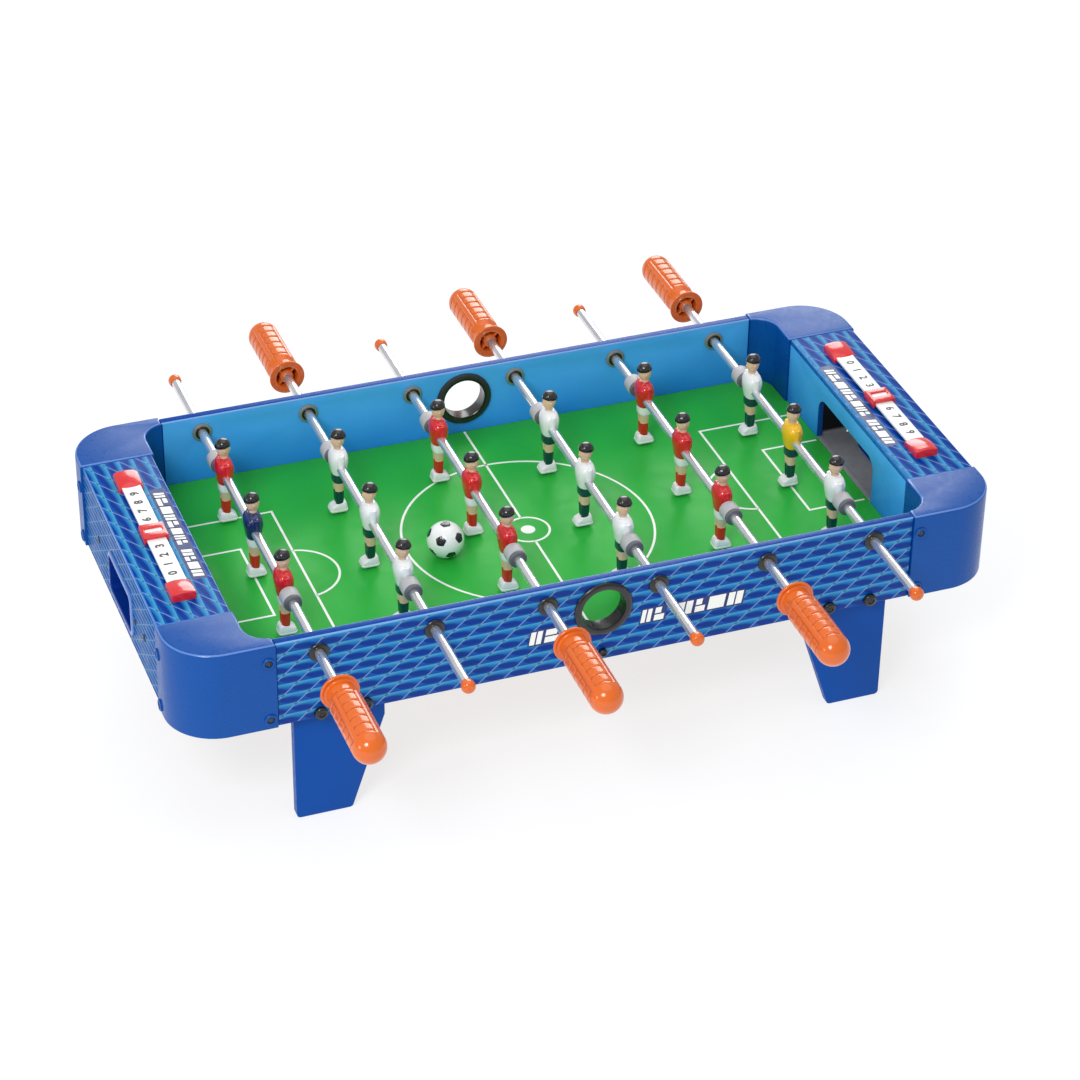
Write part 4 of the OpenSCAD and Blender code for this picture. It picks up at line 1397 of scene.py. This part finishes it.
def figure_hair(s, place):
    """A smooth cap, lower at the nape, with faint waves."""
    top, top_x, rows = 33.7, -0.35, 12
    hair = []
    for k in range(rows + 1):
        a = math.pi / 2 * k / rows
        near = math.cos(a) ** 0.8
        ring = []
        for c, d, b in around(HEAD_STEPS):
            base = 27.7 + (0.5 * c if c > 0 else 0.9 * c)
            wave = 0.16 * math.sin(7 * b + 2.2 * a) * math.cos(a)
            x, y = (6.5 + wave) * near * c, (5.95 + wave) * near * d
            if k == rows:
                x, y = 0.3 * c, 0.3 * d
            ring.append((top_x + x, y, base + (top - base) * math.sin(a)))
        hair.append(ring)
    under = [(x * 0.86, y * 0.86, z + 0.5) for x, y, z in hair[0]]
    s.rings([under] + hair, HAIR, place)


def figure_collar(s, place):
    """A thin rolled collar with a small V at the front."""
    roll = 0.55
    loops = []
    for c, d, _ in around(32):
        dip = 2.0 * max(0.0, c) ** 6
        cx, cy, cz = 0.2 + 4.3 * c + 0.25 * dip, 4.5 * d, 15.8 - dip
        loops.append([(cx + roll * e * c, cy + roll * e * d, cz + roll * f) for e, f, _ in around(8)])
    loops.append(loops[0])
    s.rings(loops, SHIRT, place, caps=False)


def figure_boots(s, place):
    """Both boots on one block, as one moulding: rows of height over the sole, growth and the toe's pull."""
    toe, heel, half, sole = 9.0, 6.5, 6.0, -44.0
    rows = [(0.02, -0.7, 0.0), (0.25, -0.25, 0.0), (0.9, 0.0, 0.0), (1.9, 0.0, 0.0), (2.1, -0.4, 0.0)]
    rows += [(3.6, -0.3, 0.1), (5.0, -0.45, 0.9), (6.2, -0.7, 2.6), (7.2, -0.95, 4.4)]
    rows += [(8.1, -1.3, 5.6), (8.6, -2.1, 5.8)]
    rings = []
    for z, grow, pull in rows:
        loop = rounded(-heel - grow, -half - grow, toe - pull + grow, half + grow, 2.6, 6)
        # a notch between the two toes
        rings.append([(x - 1.2 * bell(y, 0.9) if x > 0 else x, y, sole + z) for x, y in loop])
    s.rings(rings, BOOT, place)


def make_players(i):
    """Three figures on a rod, red ones facing right on the odd rods and white ones facing left."""
    red = i % 2 == 1
    for k, name in ((-1, "near"), (0, "middle"), (1, "far")):
        s = Shape()
        y = -HANDLE_SIDE[i] * PLAYER_SHIFT + k * PLAYER_PITCH
        place = shift(ROD_X[i], y, ROD_Z) @ turn(0 if red else 180, "Z")
        for part in (figure_body, figure_arms, figure_head, figure_hair, figure_collar, figure_boots):
            part(s, place)
        keeper = k == 0 and i in (1, 6)
        if red:
            kit = "kit_navy kit_white kit_red" if keeper else "kit_red kit_white kit_red"
        else:
            kit = "kit_yellow kit_green kit_green" if keeper else "kit_white kit_green kit_green"
        looks = kit + " boot_white figure_skin figure_hair"
        s.piece(f"rod_{i}_player_{name}", looks, f"rod_{i}", [f"players_{i}"], 50)


# ---------- the object ----------

make_playfield()
make_pitch_lines()
for side in SIDES:
    make_side_panel(side)
    make_panel_motif(side)
    make_inner_wall(side)
    make_outer_wall(side)
    make_end_top(side)
    make_end_motif(side)
    make_serve_ring(side)
    make_ball_return(side)
    make_tray_apron(side)
    make_score_strip(side)
    make_digits(side)
    make_marker(side)
    for other in SIDES:
        make_corner(side, other)
        make_leg(side, other)
        make_bracket(side, other)
    for i in RODS:
        make_bush(i, side)
make_bolts()
make_wall_screws()
make_ball()
for i in RODS:
    make_rod(i)
    make_handle(i)
    make_end_cap(i)
    make_bumpers(i)
    make_players(i)
carry("field_batten", "raw_fibreboard")
for side in SIDES:
    carry(f"goal_tray_{END_NAME[side]}", "tray_plastic")

# ---------- floor, light and camera ----------


def make_stage():
    """A pale floor that is wider than the view."""
    mesh = bpy.data.meshes.new("floor")
    half = 12
    corners = [(-half, -half, 0), (half, -half, 0), (half, half, 0), (-half, half, 0)]
    mesh.from_pydata(corners, [], [(0, 1, 2, 3)])
    floor = bpy.data.objects.new("floor", mesh)
    bpy.context.scene.collection.objects.link(floor)
    p = Paint("floor_paper", Roughness=0.9, Specular_IOR_Level=0.1, Emission_Strength=0.72)
    p.shader.inputs["Emission Color"].default_value = (1, 1, 1, 1)
    p.colour(p.mix(p.noise(400, 2), rgb(152, 154, 158), rgb(148, 150, 154)))
    mesh.materials.append(p.mat)


def lamp(name, place, aim, size, power):
    """A round soft lamp that points at aim, in metres and watts."""
    light = bpy.data.lights.new(name, "AREA")
    light.shape = "DISK"
    light.size = size
    light.energy = power
    obj = bpy.data.objects.new(name, light)
    obj.location = place
    obj.rotation_euler = (Vector(aim) - Vector(place)).to_track_quat("-Z", "Y").to_euler()
    bpy.context.scene.collection.objects.link(obj)


def make_lights():
    world = bpy.data.worlds.new("studio")
    bpy.context.scene.world = world
    world.use_nodes = True
    background = world.node_tree.nodes["Background"]
    background.inputs["Color"].default_value = (1, 1, 1, 1)
    background.inputs["Strength"].default_value = 0.55
    lamp("key", (-1.3, -1.5, 1.9), (0, 0, 0.12), 0.9, 30)
    lamp("top", (0.2, 0.2, 2.4), (0, 0, 0.1), 2.6, 14)
    lamp("back", (0.8, 2.1, 1.22), (0, 0, 0.15), 1.5, 24)
    lamp("left", (-2.0, -0.5, 0.6), (0, 0, 0.15), 0.5, 3)


def make_camera():
    """A long lens from above the near left corner."""
    place = Vector((-802.6, -2165.8, 1651.2)) * MM
    aim = Vector((65.2, 145.0, 0.0)) * MM
    roll = 0.01376
    cam = bpy.data.cameras.new("camera")
    cam.sensor_width = 36
    cam.lens = 111.35
    cam.clip_start, cam.clip_end = 0.05, 50
    obj = bpy.data.objects.new("camera", cam)
    obj.rotation_mode = "QUATERNION"
    look = (aim - place).to_track_quat("-Z", "Y")
    obj.location = place
    obj.rotation_quaternion = look @ Matrix.Rotation(roll, 3, "Z").to_quaternion()
    bpy.context.scene.collection.objects.link(obj)
    bpy.context.scene.camera = obj


make_stage()
make_lights()
make_camera()
bpy.context.scene.view_settings.view_transform = "Standard"

bpy.context.view_layer.update()
